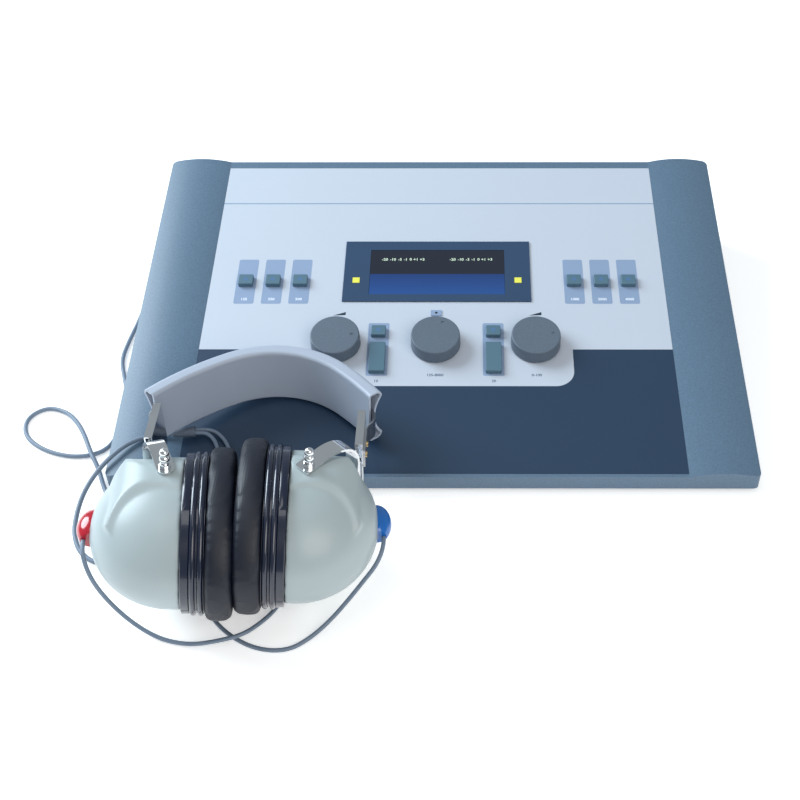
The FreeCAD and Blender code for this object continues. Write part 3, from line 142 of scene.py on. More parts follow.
class HeadsetLooks(bpy.types.PropertyGroup):
    """Finishes and soft forms of the headset."""

    sleeve: colour_property("Sleeve", "Moulded headband sleeve", display_colour(165, 174, 190))
    shell: colour_property("Shells", "Ear cup shells", display_colour(163, 175, 178))
    rim: colour_property("Rims", "Rim plates and ribs", display_colour(8, 22, 46))
    cushion: colour_property("Cushions", "Cushion covers", display_colour(8, 17, 34))
    red_cap: colour_property("Red cap", "Left lead cap", display_colour(176, 26, 44))
    blue_cap: colour_property("Blue cap", "Right lead cap", display_colour(20, 98, 178))
    cord: colour_property("Cords", "Cable and leads", display_colour(112, 126, 144))
    cable_diameter: length_property("Cable", "Diameter of the main cable", 2.6 * MM)
    lead_diameter: length_property("Leads", "Diameter of the two leads", 2.2 * MM)
    shell_softness: bpy.props.IntProperty(
        name="Shell softness", description="Smoothing steps on the shells' creases", min=0, default=5
    )


class StudioLooks(bpy.types.PropertyGroup):
    """Camera, floor and lights."""

    lens: bpy.props.FloatProperty(
        name="Lens", description="Focal length on a 36 mm sensor", unit="CAMERA", default=53.82
    )
    camera_place: bpy.props.FloatVectorProperty(
        name="Camera", description="Camera position", subtype="TRANSLATION",
        default=(0.01921, -0.52599, 0.48479)
    )
    floor: colour_property("Floor", "Floor and backdrop", (0.9, 0.9, 0.9))
    floor_glow: bpy.props.FloatProperty(
        name="Floor glow", description="Light of the lit table under the object", min=0, default=0.42
    )
    key_power: bpy.props.FloatProperty(name="Main light", description="Power", unit="POWER", default=40)
    fill_power: bpy.props.FloatProperty(name="Fill light", description="Power", unit="POWER", default=16)
    top_power: bpy.props.FloatProperty(name="Top light", description="Power", unit="POWER", default=3)
    sky: bpy.props.FloatProperty(
        name="Sky", description="Strength of the room's light", min=0, default=0.38
    )


def console_looks():
    return bpy.context.scene.audiometer_console


def headset_looks():
    return bpy.context.scene.audiometer_headset


def studio_looks():
    return bpy.context.scene.audiometer_studio


# ---- shader maths ----
class Value:
    """A node socket that Python's operators work on."""

    def __init__(self, tree, socket):
        self.tree = tree
        self.socket = socket

    def math(self, operation, *terms):
        node = self.tree.nodes.new("ShaderNodeMath")
        node.operation = operation
        for slot, term in zip(node.inputs, terms):
            if isinstance(term, Value):
                self.tree.links.new(term.socket, slot)
            else:
                slot.default_value = term
        return Value(self.tree, node.outputs[0])

    def __add__(self, other):
        return self.math("ADD", self, other)

    def __radd__(self, other):
        return self.math("ADD", other, self)

    def __sub__(self, other):
        return self.math("SUBTRACT", self, other)

    def __rsub__(self, other):
        return self.math("SUBTRACT", other, self)

    def __mul__(self, other):
        return self.math("MULTIPLY", self, other)

    def __rmul__(self, other):
        return self.math("MULTIPLY", other, self)

    def clamped(self):
        node = self.math("ADD", self, 0)
        node.socket.node.use_clamp = True
        return node


class Finish:
    """A Principled material. node() adds any node, and its results go into the maths above."""

    def __init__(self, name, colour, roughness, **fixed):
        self.material = bpy.data.materials.new(name)
        self.material.use_nodes = True
        self.tree = self.material.node_tree
        self.shader = self.tree.nodes["Principled BSDF"]
        self.set("Base Color", (*colour, 1))
        self.set("Roughness", roughness)
        for key, value in fixed.items():
            self.set(key.replace("_", " ").title(), value)

    def set(self, name, value):
        socket = self.shader.inputs[name]
        if isinstance(value, Value):
            self.tree.links.new(value.socket, socket)
        else:
            socket.default_value = value

    def node(self, kind, settings, values, output=0):
        node = self.tree.nodes.new(kind)
        for key, value in settings.items():
            setattr(node, key, value)
        for key, value in values.items():
            if isinstance(value, Value):
                self.tree.links.new(value.socket, node.inputs[key])
            else:
                node.inputs[key].default_value = value
        return Value(self.tree, node.outputs[output])

    def place(self):
        return self.node("ShaderNodeTexCoord", {}, {}, "Object")

    def noise(self, scale, detail=2.0, roughness=0.5):
        values = {"Vector": self.place(), "Scale": scale, "Detail": detail, "Roughness": roughness}
        return self.node("ShaderNodeTexNoise", {}, values, "Fac")

    def mixed(self, factor, first, second):
        first = (*first, 1) if isinstance(first, tuple) else first
        second = (*second, 1) if isinstance(second, tuple) else second
        return self.node("ShaderNodeMix", {"data_type": "RGBA"}, {0: factor, 6: first, 7: second}, 2)

    def bump(self, height, strength, distance):
        values = {"Height": height, "Strength": strength, "Distance": distance}
        self.set("Normal", self.node("ShaderNodeBump", {}, values))


def scaled(colour, factor):
    return tuple(min(value * factor, 1) for value in colour)


def moulded(
    name, colour, roughness, grain_scale=2200.0, grain_depth=0.02, mottle=0.05, speckle=0.0, **fixed
):
    """Injection-moulded plastic with a fine eroded grain, a faint cloudiness and sometimes a speckle."""
    finish = Finish(name, colour, roughness, **fixed)
    cloud = finish.noise(28.0, 3.0)
    grain = finish.noise(grain_scale, 2.0)
    spread = mottle + speckle
    share = (cloud * mottle + grain * speckle) * (1 / spread)
    finish.set("Base Color", finish.mixed(share, scaled(colour, 1 - spread), scaled(colour, 1 + spread)))
    finish.set("Roughness", roughness - 0.04 + grain * 0.08)
    finish.bump(grain, 0.35, grain_depth * MM)
    return finish.material


def glossy(name, colour, roughness=0.12, coat=0.5):
    """Smooth plastic with a hard clear surface and a slight waviness."""
    finish = Finish(name, colour, roughness, coat_weight=coat, coat_roughness=0.05)
    wave = finish.noise(60.0, 2.0)
    finish.set("Base Color", finish.mixed(wave, scaled(colour, 0.92), scaled(colour, 1.08)))
    finish.set("Roughness", roughness + wave * 0.06)
    finish.bump(wave, 0.25, 0.05 * MM)
    return finish.material


def plated(name, colour, roughness):
    """Plated or polished sheet metal with faint drawing marks."""
    finish = Finish(name, colour, roughness, metallic=1.0)
    smear = finish.noise(45.0, 4.0)
    finish.set("Roughness", roughness + smear * 0.12)
    finish.set("Base Color", finish.mixed(smear, scaled(colour, 0.86), colour))
    finish.bump(smear, 0.12, 0.12 * MM)
    return finish.material


def give(material, *nodes):
    """CAD nodes take this material."""
    for node in nodes:
        mesh = frame["nodes"][node].data
        mesh.materials.clear()
        mesh.materials.append(material)


# ---- mesh helpers ----
def finished(name, mesh, body, material, sharp=math.radians(40)):
    """Object at the origin that rides on a body."""
    for polygon in mesh.polygons:
        polygon.use_smooth = True
    mesh.set_sharp_from_angle(angle=sharp)
    mesh.materials.clear()
    mesh.materials.append(material)
    piece = bpy.data.objects.new(name, mesh)
    bpy.context.scene.collection.objects.link(piece)
    if body:
        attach(piece, body)
    return piece


def mesh_from(name, bm, matrix=None):
    if matrix:
        bmesh.ops.transform(bm, matrix=matrix, verts=bm.verts)
    bmesh.ops.recalc_face_normals(bm, faces=bm.faces)
    mesh = bpy.data.meshes.new(name)
    bm.to_mesh(mesh)
    bm.free()
    return mesh


def round_corners(bm, vertices, radius, segments=8):
    bmesh.ops.bevel(
        bm, geom=vertices, offset=radius, offset_type="OFFSET", segments=segments, profile=0.5,
        affect="VERTICES", material=-1
    )


def thicken(bm, height):
    """Turns flat faces at Z = 0 into solids of that height."""
    raised = bmesh.ops.extrude_face_region(bm, geom=bm.faces[:])
    top = [item for item in raised["geom"] if isinstance(item, bmesh.types.BMVert)]
    bmesh.ops.translate(bm, vec=(0, 0, height), verts=top)


def outline_print(outlines, height, corner=0.0):
    """Solid ink made of polygons given on the panel."""
    bm = bmesh.new()
    for outline in outlines:
        corners = [bm.verts.new((x, y, 0)) for x, y in outline]
        bm.faces.new(corners)
    if corner:
        round_corners(bm, bm.verts[:], corner)
    thicken(bm, height)
    return bm


def rectangle(x, y, width, depth):
    left, right = x - width / 2, x + width / 2
    low, high = y - depth / 2, y + depth / 2
    return [(left, low), (right, low), (right, high), (left, high)]


def discs(places, radius, height, base):
    bm = bmesh.new()
    for x, y in places:
        turn = Matrix.Translation((x, y, 0))
        bmesh.ops.create_circle(bm, cap_ends=True, segments=32, radius=radius, matrix=turn)
    thicken(bm, height)
    bmesh.ops.translate(bm, vec=(0, 0, base), verts=bm.verts)
    return bm


BOLD = 0.018


def words_mesh(name, entries, size, height, base):
    """Plain numbers set flat on the panel. Each entry is the text and its middle."""
    bm = bmesh.new()
    for text, x, y in entries:
        curve = bpy.data.curves.new(name, "FONT")
        curve.body = text
        curve.size = size
        curve.align_x = "CENTER"
        curve.align_y = "CENTER"
        curve.extrude = height / 2
        curve.offset = size * BOLD
        curve.resolution_u = 3
        holder = bpy.data.objects.new(name, curve)
        bpy.context.scene.collection.objects.link(holder)
        bpy.context.view_layer.update()
        flat = bpy.data.meshes.new_from_object(holder)
        flat.transform(Matrix.Translation((x, y, base + height / 2)))
        bm.from_mesh(flat)
        bpy.data.objects.remove(holder)
        bpy.data.meshes.remove(flat)
        bpy.data.curves.remove(curve)
    bmesh.ops.remove_doubles(bm, verts=bm.verts, dist=1e-7)
    return mesh_from(name, bm, PANEL)


def revolved(profile, steps, scale, matrix):
    """Closed profile of (X, radius) points spun about X, then made elliptic by the scale."""
    bm = bmesh.new()
    corners = [bm.verts.new((x, radius, 0)) for x, radius in profile]
    edges = [bm.edges.new(pair) for pair in zip(corners, corners[1:] + corners[:1])]
    bmesh.ops.spin(
        bm, geom=corners + edges, cent=(0, 0, 0), axis=(1, 0, 0), angle=math.tau, steps=steps,
        use_merge=True
    )
    bmesh.ops.remove_doubles(bm, verts=bm.verts, dist=1e-7)
    bmesh.ops.scale(bm, vec=scale, verts=bm.verts)
    bmesh.ops.recalc_face_normals(bm, faces=bm.faces)
    bmesh.ops.transform(bm, matrix=matrix, verts=bm.verts)
    return bm


def arc_points(centre, radius, start, end, count):
    """Points (X, radius) on an arc; angles in degrees from +X towards +radius."""
    points = []
    for index in range(count + 1):
        angle = math.radians(start + (end - start) * index / count)
        points.append((centre[0] + radius * math.cos(angle), centre[1] + radius * math.sin(angle)))
    return points


def add_modifier(piece, kind, **settings):
    modifier = piece.modifiers.new(kind.title(), kind)
    for key, value in settings.items():
        setattr(modifier, key, value)
    return modifier


def baked(piece):
    """Mesh of the piece with its modifiers applied."""
    bpy.context.view_layer.update()
    shown = piece.evaluated_get(bpy.context.evaluated_depsgraph_get())
    return bpy.data.meshes.new_from_object(shown)


# ---- cords ----
MAIN_ROUTE = (
    (-0.088, 0.150, 0.00285), (-0.116, 0.147, 0.00135), (-0.150, 0.140, 0.00135), (-0.182, 0.127, 0.00135),
    (-0.194, 0.100, 0.00135), (-0.192, 0.062, 0.00135), (-0.193, 0.027, 0.00135), (-0.1955, 0.005, 0.00135),
    (-0.1965, -0.014, 0.00135), (-0.191, -0.031, 0.00135), (-0.186, -0.046, 0.00135),
    (-0.1838, -0.064, 0.00135), (-0.1838, -0.081, 0.00135), (-0.1885, -0.095, 0.00135),
    (-0.2015, -0.0995, 0.00135), (-0.215, -0.0975, 0.00135), (-0.2285, -0.091, 0.00135),
    (-0.2385, -0.081, 0.00135), (-0.241, -0.067, 0.00135), (-0.2315, -0.0575, 0.00135),
    (-0.2185, -0.062, 0.00185), (-0.209, -0.0735, 0.00485), (-0.2015, -0.086, 0.00695),
    (-0.194, -0.1015, 0.00695), (-0.1875, -0.112, 0.00435), (-0.1828, -0.1235, 0.00135),
    (-0.1755, -0.136, 0.00135), (-0.1635, -0.1465, 0.00135), (-0.1565, -0.1595, 0.00135),
    (-0.1605, -0.1735, 0.00135), (-0.1735, -0.1785, 0.00135), (-0.185, -0.1705, 0.00135),
    (-0.191, -0.158, 0.00215), (-0.192, -0.1455, 0.00435), (-0.190, -0.134, 0.00885),
    (-0.1845, -0.1235, 0.01385), (-0.1765, -0.114, 0.01835), (-0.168, -0.106, 0.02035),
    (-0.15761, -0.10134, 0.02029), (-0.1452, -0.0999, 0.0206),
)
PLUG_ROUTE = (
    (-0.120, 0.1678, 0.022), (-0.120, 0.180, 0.022), (-0.1155, 0.1895, 0.0165), (-0.104, 0.193, 0.0105),
)
RED_ROUTE = (
    (-0.13325, -0.09726, 0.0209), (-0.12481, -0.09628, 0.02111), (-0.117, -0.1015, 0.01872),
    (-0.112, -0.111, 0.01626), (-0.1095, -0.121, 0.01481), (-0.1075, -0.1305, 0.01215),
    (-0.105, -0.1385, 0.00715), (-0.100, -0.147, 0.00295), (-0.091, -0.1575, 0.00115),
    (-0.0815, -0.1685, 0.00115), (-0.0745, -0.182, 0.00115), (-0.0735, -0.196, 0.00115),
    (-0.0773, -0.2075, 0.00195), (-0.0826, -0.2175, 0.00475), (-0.0905, -0.2265, 0.00655),
    (-0.1025, -0.2298, 0.00595), (-0.1155, -0.2295, 0.00235), (-0.1288, -0.2264, 0.00115),
    (-0.1392, -0.222, 0.00255), (-0.1482, -0.218, 0.0073), (-0.1556, -0.2148, 0.015),
    (-0.160, -0.2136, 0.0243), (-0.1623, -0.2133, 0.0337), (-0.164, -0.2111, 0.0418),
)
BLUE_ROUTE = (
    (-0.13295, -0.09974, 0.0209), (-0.12858, -0.09923, 0.02101), (-0.1243, -0.101, 0.0203),
    (-0.1206, -0.1057, 0.0186), (-0.1183, -0.1135, 0.0159), (-0.1178, -0.1225, 0.0148),
    (-0.1185, -0.1315, 0.01065), (-0.120, -0.139, 0.00565), (-0.1215, -0.149, 0.00195),
    (-0.122, -0.161, 0.00115), (-0.1215, -0.175, 0.00115), (-0.1195, -0.189, 0.00115),
    (-0.115, -0.202, 0.00115), (-0.1073, -0.2143, 0.00115), (-0.0965, -0.2245, 0.00115),
    (-0.083, -0.2315, 0.00115), (-0.0685, -0.232, 0.00115), (-0.058, -0.2248, 0.00175),
    (-0.0485, -0.216, 0.00475), (-0.039, -0.2078, 0.012), (-0.0318, -0.203, 0.020),
    (-0.0258, -0.1994, 0.027),
)
COIL_CENTRE = Vector((-0.085, 0.165, 0))
COIL_RADIUS = 15 * MM
COIL_START = math.radians(108)
COIL_END = math.radians(-101)
COIL_STEPS = 12
COIL_ROWS = (
    (10.05, (1.35, -1.35)),
    (7.9, (-2.7, 0, 2.7)),
    (5.7, (4.05, 1.35, -1.35, -4.05)),
    (3.5, (-2.7, 0, 2.7)),
    (1.35, (1.35, -1.35)),
)


def coil_points():
    """Clockwise turns that lie beside and on each other, from the top row down to the table."""
    places = [(offset * MM, height * MM) for height, offsets in COIL_ROWS for offset in offsets]
    turns = len(places) - 1 + (COIL_START - COIL_END) / math.tau
    count = round(turns * COIL_STEPS)
    points = []
    for index in range(count + 1):
        turn = turns * index / count
        lower = min(int(turn), len(places) - 2)
        share = min(turn - lower, 1)
        (first_r, first_z), (second_r, second_z) = places[lower], places[lower + 1]
        radius = COIL_RADIUS + first_r + (second_r - first_r) * share
        angle = COIL_START - turn * math.tau
        height = first_z + (second_z - first_z) * share
        points.append(COIL_CENTRE + Vector((radius * math.cos(angle), radius * math.sin(angle), height)))
    return points


def spline_curve(name, points):
    """Smooth line whose control points are the route's own."""
    curve = bpy.data.curves.new(name, "CURVE")
    curve.dimensions = "3D"
    curve.resolution_u = 8
    spline = curve.splines.new("NURBS")
    spline.points.add(len(points) - 1)
    for control, point in zip(spline.points, points):
        control.co = (*point, 1)
    spline.order_u = 3
    spline.use_endpoint_u = True
    return curve


def mesh_of_curve(name, curve):
    holder = bpy.data.objects.new(name, curve)
    bpy.context.scene.collection.objects.link(holder)
    bpy.context.view_layer.update()
    mesh = bpy.data.meshes.new_from_object(holder)
    bpy.data.objects.remove(holder)
    return mesh


def centreline(name, points):
    """Points that the NURBS spline passes through."""
    line = mesh_of_curve(name, spline_curve(name, points))
    return [vertex.co.copy() for vertex in line.vertices]


def tube_mesh(name, path, diameter):
    """Closed round tube along points read from a spline."""
    curve = bpy.data.curves.new(name, "CURVE")
    curve.dimensions = "3D"
    curve.bevel_depth = diameter / 2
    curve.bevel_resolution = 4
    curve.use_fill_caps = True
    spline = curve.splines.new("POLY")
    spline.points.add(len(path) - 1)
    for control, point in zip(spline.points, path):
        control.co = (*point, 1)
    mesh = mesh_of_curve(name, curve)
    bm = bmesh.new()
    bm.from_mesh(mesh)
    bmesh.ops.remove_doubles(bm, verts=bm.verts, dist=1e-7)
    return mesh_from(name, bm)


def sheath(name, colour):
    """Soft PVC sheath with a dull sheen."""
    finish = Finish(name, colour, 0.45)
    cloud = finish.noise(90.0, 3.0)
    finish.set("Base Color", finish.mixed(cloud, scaled(colour, 0.86), scaled(colour, 1.1)))
    finish.set("Roughness", 0.38 + cloud * 0.14)
    finish.bump(finish.noise(1500.0, 2.0), 0.2, 0.02 * MM)
    return finish.material


class AUDIOMETER_OT_cable(bpy.types.Operator):
    """Cable from the phones plug, through its coil, to the splitter"""

    bl_idname = "audiometer.cable"
    bl_label = "Headset cable"

    def execute(self, context):
        looks = headset_looks()
        route = [CONSOLE + Vector(p) for p in PLUG_ROUTE]
        route += [CONSOLE + p for p in coil_points()]
        route += [CONSOLE + Vector(p) for p in MAIN_ROUTE[1:]]
        path = centreline("headset_cable", route)
        mesh = tube_mesh("headset_cable", path, looks.cable_diameter)
        cable = finished("headset_cable", mesh, None, sheath("cable_sheath", looks.cord))
        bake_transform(cable)
        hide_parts("plug_cable", "cable_coil", "main_cable")
        return {"FINISHED"}


LEAD_SHARES = (0, 0.3, 0.55, 0.8, 1)
LEAD_ENTRY = (6 * MM, 0.3 * MM)


def make_lead(side, route, colour_name):
    """Lead in four lengths along its path, from the splitter down to the cap."""
    looks = headset_looks()
    below = [CUP[side] @ (CAP_MOUTH - Vector((0, down, 0))) for down in LEAD_ENTRY]
    points = [CONSOLE + Vector(p) for p in route] + below
    path = centreline(f"lead_{colour_name}", points)
    material = sheath(f"lead_{colour_name}_sheath", looks.cord)
    bodies = ("headband", f"stem_{side}", f"clevis_{side}", f"yoke_{side}", f"cup_{side}")
    last = len(path) - 1
    for index in range(len(bodies) - 1):
        first_point = round(last * LEAD_SHARES[index])
        last_point = round(last * LEAD_SHARES[index + 1])
        part = path[first_point:last_point + 1]
        name = f"lead_{colour_name}_{index + 1}"
        mesh = tube_mesh(name, part, looks.lead_diameter)
        lead = finished(name, mesh, None, material)
        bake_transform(lead)
        if index == 0:
            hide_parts(f"lead_{colour_name}")


class AUDIOMETER_OT_leads(bpy.types.Operator):
    """Two thin leads from the splitter to the caps"""

    bl_idname = "audiometer.leads"
    bl_label = "Ear cup leads"

    def execute(self, context):
        make_lead("left", RED_ROUTE, "red")
        make_lead("right", BLUE_ROUTE, "blue")
        return {"FINISHED"}


class AUDIOMETER_OT_case(bpy.types.Operator):
    """Moulded case, bottom plate, feet and screws"""

    bl_idname = "audiometer.case"
    bl_label = "Case"

    def execute(self, context):
        looks = console_looks()
        housing = moulded(
            "housing_grain", tuple(looks.housing), 0.42, grain_scale=900.0, mottle=0.03, speckle=0.25
        )
        give(housing, "top_cover", "rear_panel")
        give(moulded("base_grain", tuple(looks.base), 0.6), "bottom_plate")
        give(moulded("foot_rubber", (0.02, 0.02, 0.02), 0.8), "rubber_feet")
        give(plated("screw_steel", (0.62, 0.62, 0.63), 0.3), "case_screws")
        black = moulded("socket_black", (0.018, 0.018, 0.02), 0.4)
        give(black, "rear_sockets", "power_rocker", "panel_switchgear", "jack_plug")
        board = moulded("board_green", (0.02, 0.09, 0.045), 0.35)
        give(board, "control_board", "main_board")
        return {"FINISHED"}


# Places on the panel are measured from the middle of its front edge, up the slope.
UPPER_KEY_Y = 144.4 * MM
UPPER_KEY_X = (84.7 * MM, 101.5 * MM, 118.3 * MM)
UPPER_PLATE = (12.3 * MM, 37.0 * MM, 145.0 * MM)
LOWER_KEY_X = 34.3 * MM
LOWER_KEY_Y = 103.2 * MM
LOWER_PLATE = (12.6 * MM, 40.4 * MM, 90.7 * MM)
KNOB_X = 59.4 * MM
OVERLAY_HALF = 140.5 * MM
OVERLAY_LOW = 2.0 * MM
LINE_WIDTH = 0.8 * MM
PLATE_CORNER = 1.2 * MM
RAMP_X = (-3.2 * MM, 4.4 * MM)
RAMP_Y = (117.0 * MM, 117.3 * MM, 119.8 * MM)


class AUDIOMETER_OT_panel_film(bpy.types.Operator):
    """Printed film: pale ground, dark field, divider, plates and marks"""

    bl_idname = "audiometer.panel_film"
    bl_label = "Panel film"

    def execute(self, context):
        looks = console_looks()
        film = moulded(
            "film_velvet", tuple(looks.film), 0.38, grain_scale=1600.0, grain_depth=0.008, mottle=0.012
        )
        give(film, "panel_overlay")
        ink = looks.print_height
        half, tongue = OVERLAY_HALF, looks.tongue_half
        outline = [
            (-half, OVERLAY_LOW), (half, OVERLAY_LOW), (half, looks.field_y), (tongue, looks.field_y),
            (tongue, looks.tongue_y), (-tongue, looks.tongue_y), (-tongue, looks.field_y),
            (-half, looks.field_y),
        ]
        bm = bmesh.new()
        corners = [bm.verts.new((x, y, 0)) for x, y in outline]
        bm.faces.new(corners)
        round_corners(bm, corners[4:6], looks.tongue_corner, 10)
        thicken(bm, ink)
        field = moulded("dark_ink", tuple(looks.dark_field), 0.34, grain_scale=1600.0, grain_depth=0.008)
        finished("dark_field", mesh_from("dark_field", bm, PANEL), "console", field)

        line = outline_print([rectangle(0, looks.divider_y, 2 * half, LINE_WIDTH)], ink)
        line_ink = moulded("line_ink", display_colour(120, 146, 172), 0.4, grain_depth=0.004)
        finished("divider_line", mesh_from("divider_line", line, PANEL), "console", line_ink)

        width, depth, middle = UPPER_PLATE
        plates = [rectangle(side * x, middle, width, depth) for side in (-1, 1) for x in UPPER_KEY_X]
        width, depth, middle = LOWER_PLATE
        plates += [rectangle(side * LOWER_KEY_X, middle, width, depth) for side in (-1, 1)]
        plate_ink = moulded("plate_ink", tuple(looks.plate), 0.4, grain_scale=1600.0, grain_depth=0.008)
        bm = outline_print(plates, ink, corner=PLATE_CORNER)
        finished("key_plates", mesh_from("key_plates", bm, PANEL), "console", plate_ink)

        wedges = []
        for x in (-KNOB_X, KNOB_X):
            left, right = x + RAMP_X[0], x + RAMP_X[1]
            wedges.append([(left, RAMP_Y[0]), (right, RAMP_Y[1]), (right, RAMP_Y[2])])
        mark_ink = moulded("mark_ink", display_colour(38, 52, 66), 0.4, grain_depth=0.004)
        bm = outline_print(wedges, ink)
        finished("ramp_marks", mesh_from("ramp_marks", bm, PANEL), "console", mark_ink)
        return {"FINISHED"}


KEY_NUMBER_Y = 130.2 * MM
KEY_NUMBER_SIZE = 2.7 * MM
FIRST_TONE = 125
KNOB_NUMBER_Y = 71.0 * MM
KNOB_NUMBER_SIZE = 2.6 * MM
BAR_NUMBER_Y = 66.6 * MM


class AUDIOMETER_OT_numbers(bpy.types.Operator):
    """Plain numbers by the keys and knobs"""

    bl_idname = "audiometer.numbers"
    bl_label = "Numbers"

    def execute(self, context):
        ink = console_looks().print_height
        pale = moulded("pale_ink", display_colour(226, 234, 244), 0.4, grain_depth=0.004)
        dark = moulded("number_ink", display_colour(60, 78, 100), 0.4, grain_depth=0.004)
        entries = []
        for index, x in enumerate(sorted([-x for x in UPPER_KEY_X] + list(UPPER_KEY_X))):
            entries.append((str(FIRST_TONE * 2**index), x, KEY_NUMBER_Y))
        mesh = words_mesh("key_numbers", entries, KEY_NUMBER_SIZE, ink / 2, ink)
        finished("key_numbers", mesh, "console", pale)
        entries = [
            ("125-8000", 0, KNOB_NUMBER_Y),
            ("0-100", KNOB_X, KNOB_NUMBER_Y),
            ("0-100", -KNOB_X, KNOB_NUMBER_Y),
            ("10", -LOWER_KEY_X, BAR_NUMBER_Y),
            ("20", LOWER_KEY_X, BAR_NUMBER_Y),
        ]
        mesh = words_mesh("knob_numbers", entries, KNOB_NUMBER_SIZE, ink / 2, 0)
        finished("knob_numbers", mesh, "console", dark)
        return {"FINISHED"}


WINDOW_SPLIT = 150.7 * MM
WINDOW_TOP = 0.6 * MM
SPLIT_BLUR = 0.6 * MM
BLUE_FADE = 17 * MM
SCALE_Y = 163.1 * MM
SCALE_SIZE = 2.9 * MM
SCALE_INK = 0.02 * MM
SCALE_SHIFTS = (0.0, 42.6)
SCALE = ("-20", "-10", "-3", "-1", "0", "+1", "+3")
SCALE_X = (-33.0, -28.0, -23.6, -20.0, -16.8, -13.6, -9.6)


class AUDIOMETER_OT_display(bpy.types.Operator):
    """Display surround, tinted window with its scale, and lamps"""

    bl_idname = "audiometer.display"
    bl_label = "Display"

    def execute(self, context):
        looks = console_looks()
        surround = moulded("bezel_ink", tuple(looks.bezel), 0.3, grain_scale=1600.0, grain_depth=0.008)
        give(surround, "display_bezel")
        give(self.window_tint(), "display_window")
        give(glossy("lcd_module", (0.01, 0.012, 0.016)), "lcd_module")
        lamp = Finish("lamp_lens", tuple(looks.lamp), 0.3, emission_strength=0.3)
        glow = lamp.noise(700.0, 1.0)
        lamp.set("Emission Color", lamp.mixed(glow, scaled(tuple(looks.lamp), 0.8), tuple(looks.lamp)))
        give(lamp.material, "status_leds")
        entries = []
        for shift in SCALE_SHIFTS:
            for text, x in zip(SCALE, SCALE_X):
                entries.append((text, (x + shift) * MM, SCALE_Y))
        mesh = words_mesh("display_scale", entries, SCALE_SIZE, SCALE_INK, WINDOW_TOP)
        ink = moulded("scale_ink", display_colour(214, 232, 206), 0.5, grain_depth=0.002)
        finished("display_scale", mesh, "console", ink)
        return {"FINISHED"}

    def window_tint(self):
        """Near-black above, blue below, under a clear hard surface."""
        finish = Finish("window_tint", (0.02, 0.02, 0.03), 0.12, coat_weight=0.6, coat_roughness=0.04)
        place = finish.place()
        parts = finish.node("ShaderNodeSeparateXYZ", {}, {"Vector": place}, "Y")
        height = Value(finish.tree, parts.socket.node.outputs["Z"])
        up = (parts - console_low.y) * math.cos(PANEL_SLOPE) + (height - FRONT_EDGE) * math.sin(PANEL_SLOPE)
        lower = ((WINDOW_SPLIT - up) * (1 / SPLIT_BLUR) + 0.5).clamped()
        fade = ((WINDOW_SPLIT - up) * (1 / BLUE_FADE)).clamped()
        blue = finish.mixed(fade, display_colour(24, 56, 110), display_colour(34, 74, 134))
        finish.set("Base Color", finish.mixed(lower, display_colour(26, 32, 46), blue))
        wave = finish.noise(40.0, 1.0)
        finish.set("Roughness", 0.1 + wave * 0.05)
        return finish.material


KEY_TOP = 3.0 * MM
DOT_RADIUS = 1.5 * MM
DOT_HEIGHT = 0.03 * MM


class AUDIOMETER_OT_keys(bpy.types.Operator):
    """Key caps with their printed dots"""

    bl_idname = "audiometer.keys"
    bl_label = "Keys"

    def execute(self, context):
        looks = console_looks()
        caps = [node for node in frame["nodes"] if node.startswith(("key_", "bar_"))]
        give(moulded("key_cap", tuple(looks.key), 0.4, mottle=0.04), *caps)
        dot = moulded("dot_ink", display_colour(78, 110, 146), 0.35, grain_depth=0.004)
        places = dict(zip(("inner", "middle", "outer"), UPPER_KEY_X), lower=LOWER_KEY_X)
        for node in caps:
            if node.startswith("bar_"):
                continue
            side = -1 if "left" in node else 1
            kind = node.rsplit("_", 1)[1]
            y = LOWER_KEY_Y if kind == "lower" else UPPER_KEY_Y
            bm = discs([(side * places[kind], y)], DOT_RADIUS, DOT_HEIGHT, KEY_TOP)
            finished(f"{node}_dot", mesh_from(f"{node}_dot", bm, PANEL), node, dot)
        return {"FINISHED"}


MIC_Y = 118.8 * MM
MIC_TOP = 0.5 * MM
MIC_HOLE_RADIUS = 0.8 * MM
MIC_HOLE_HEIGHT = 0.02 * MM


class AUDIOMETER_OT_knobs(bpy.types.Operator):
    """Turning knobs and the talk microphone"""

    bl_idname = "audiometer.knobs"
    bl_label = "Knobs"

    def execute(self, context):
        looks = console_looks()
        rubbery = moulded(
            "knob_grain", tuple(looks.knob), 0.5, grain_scale=1100.0, grain_depth=0.06, mottle=0.04,
            speckle=0.2
        )
        give(rubbery, "knob_left", "knob_centre", "knob_right")
        give(moulded("mic_plate", tuple(looks.plate), 0.4), "talk_mic")
        # The mic's hole is drawn as a near-black disc on its plate: painted shade standing in for the dark
        # recess of the hole.
        bm = discs([(0, MIC_Y)], MIC_HOLE_RADIUS, MIC_HOLE_HEIGHT, MIC_TOP)
        hole = moulded("mic_hole_painted_shade", (0.004, 0.004, 0.004), 0.8)
        finished("mic_opening_painted_shade", mesh_from("mic_opening_painted_shade", bm, PANEL), "console", hole)
        return {"FINISHED"}


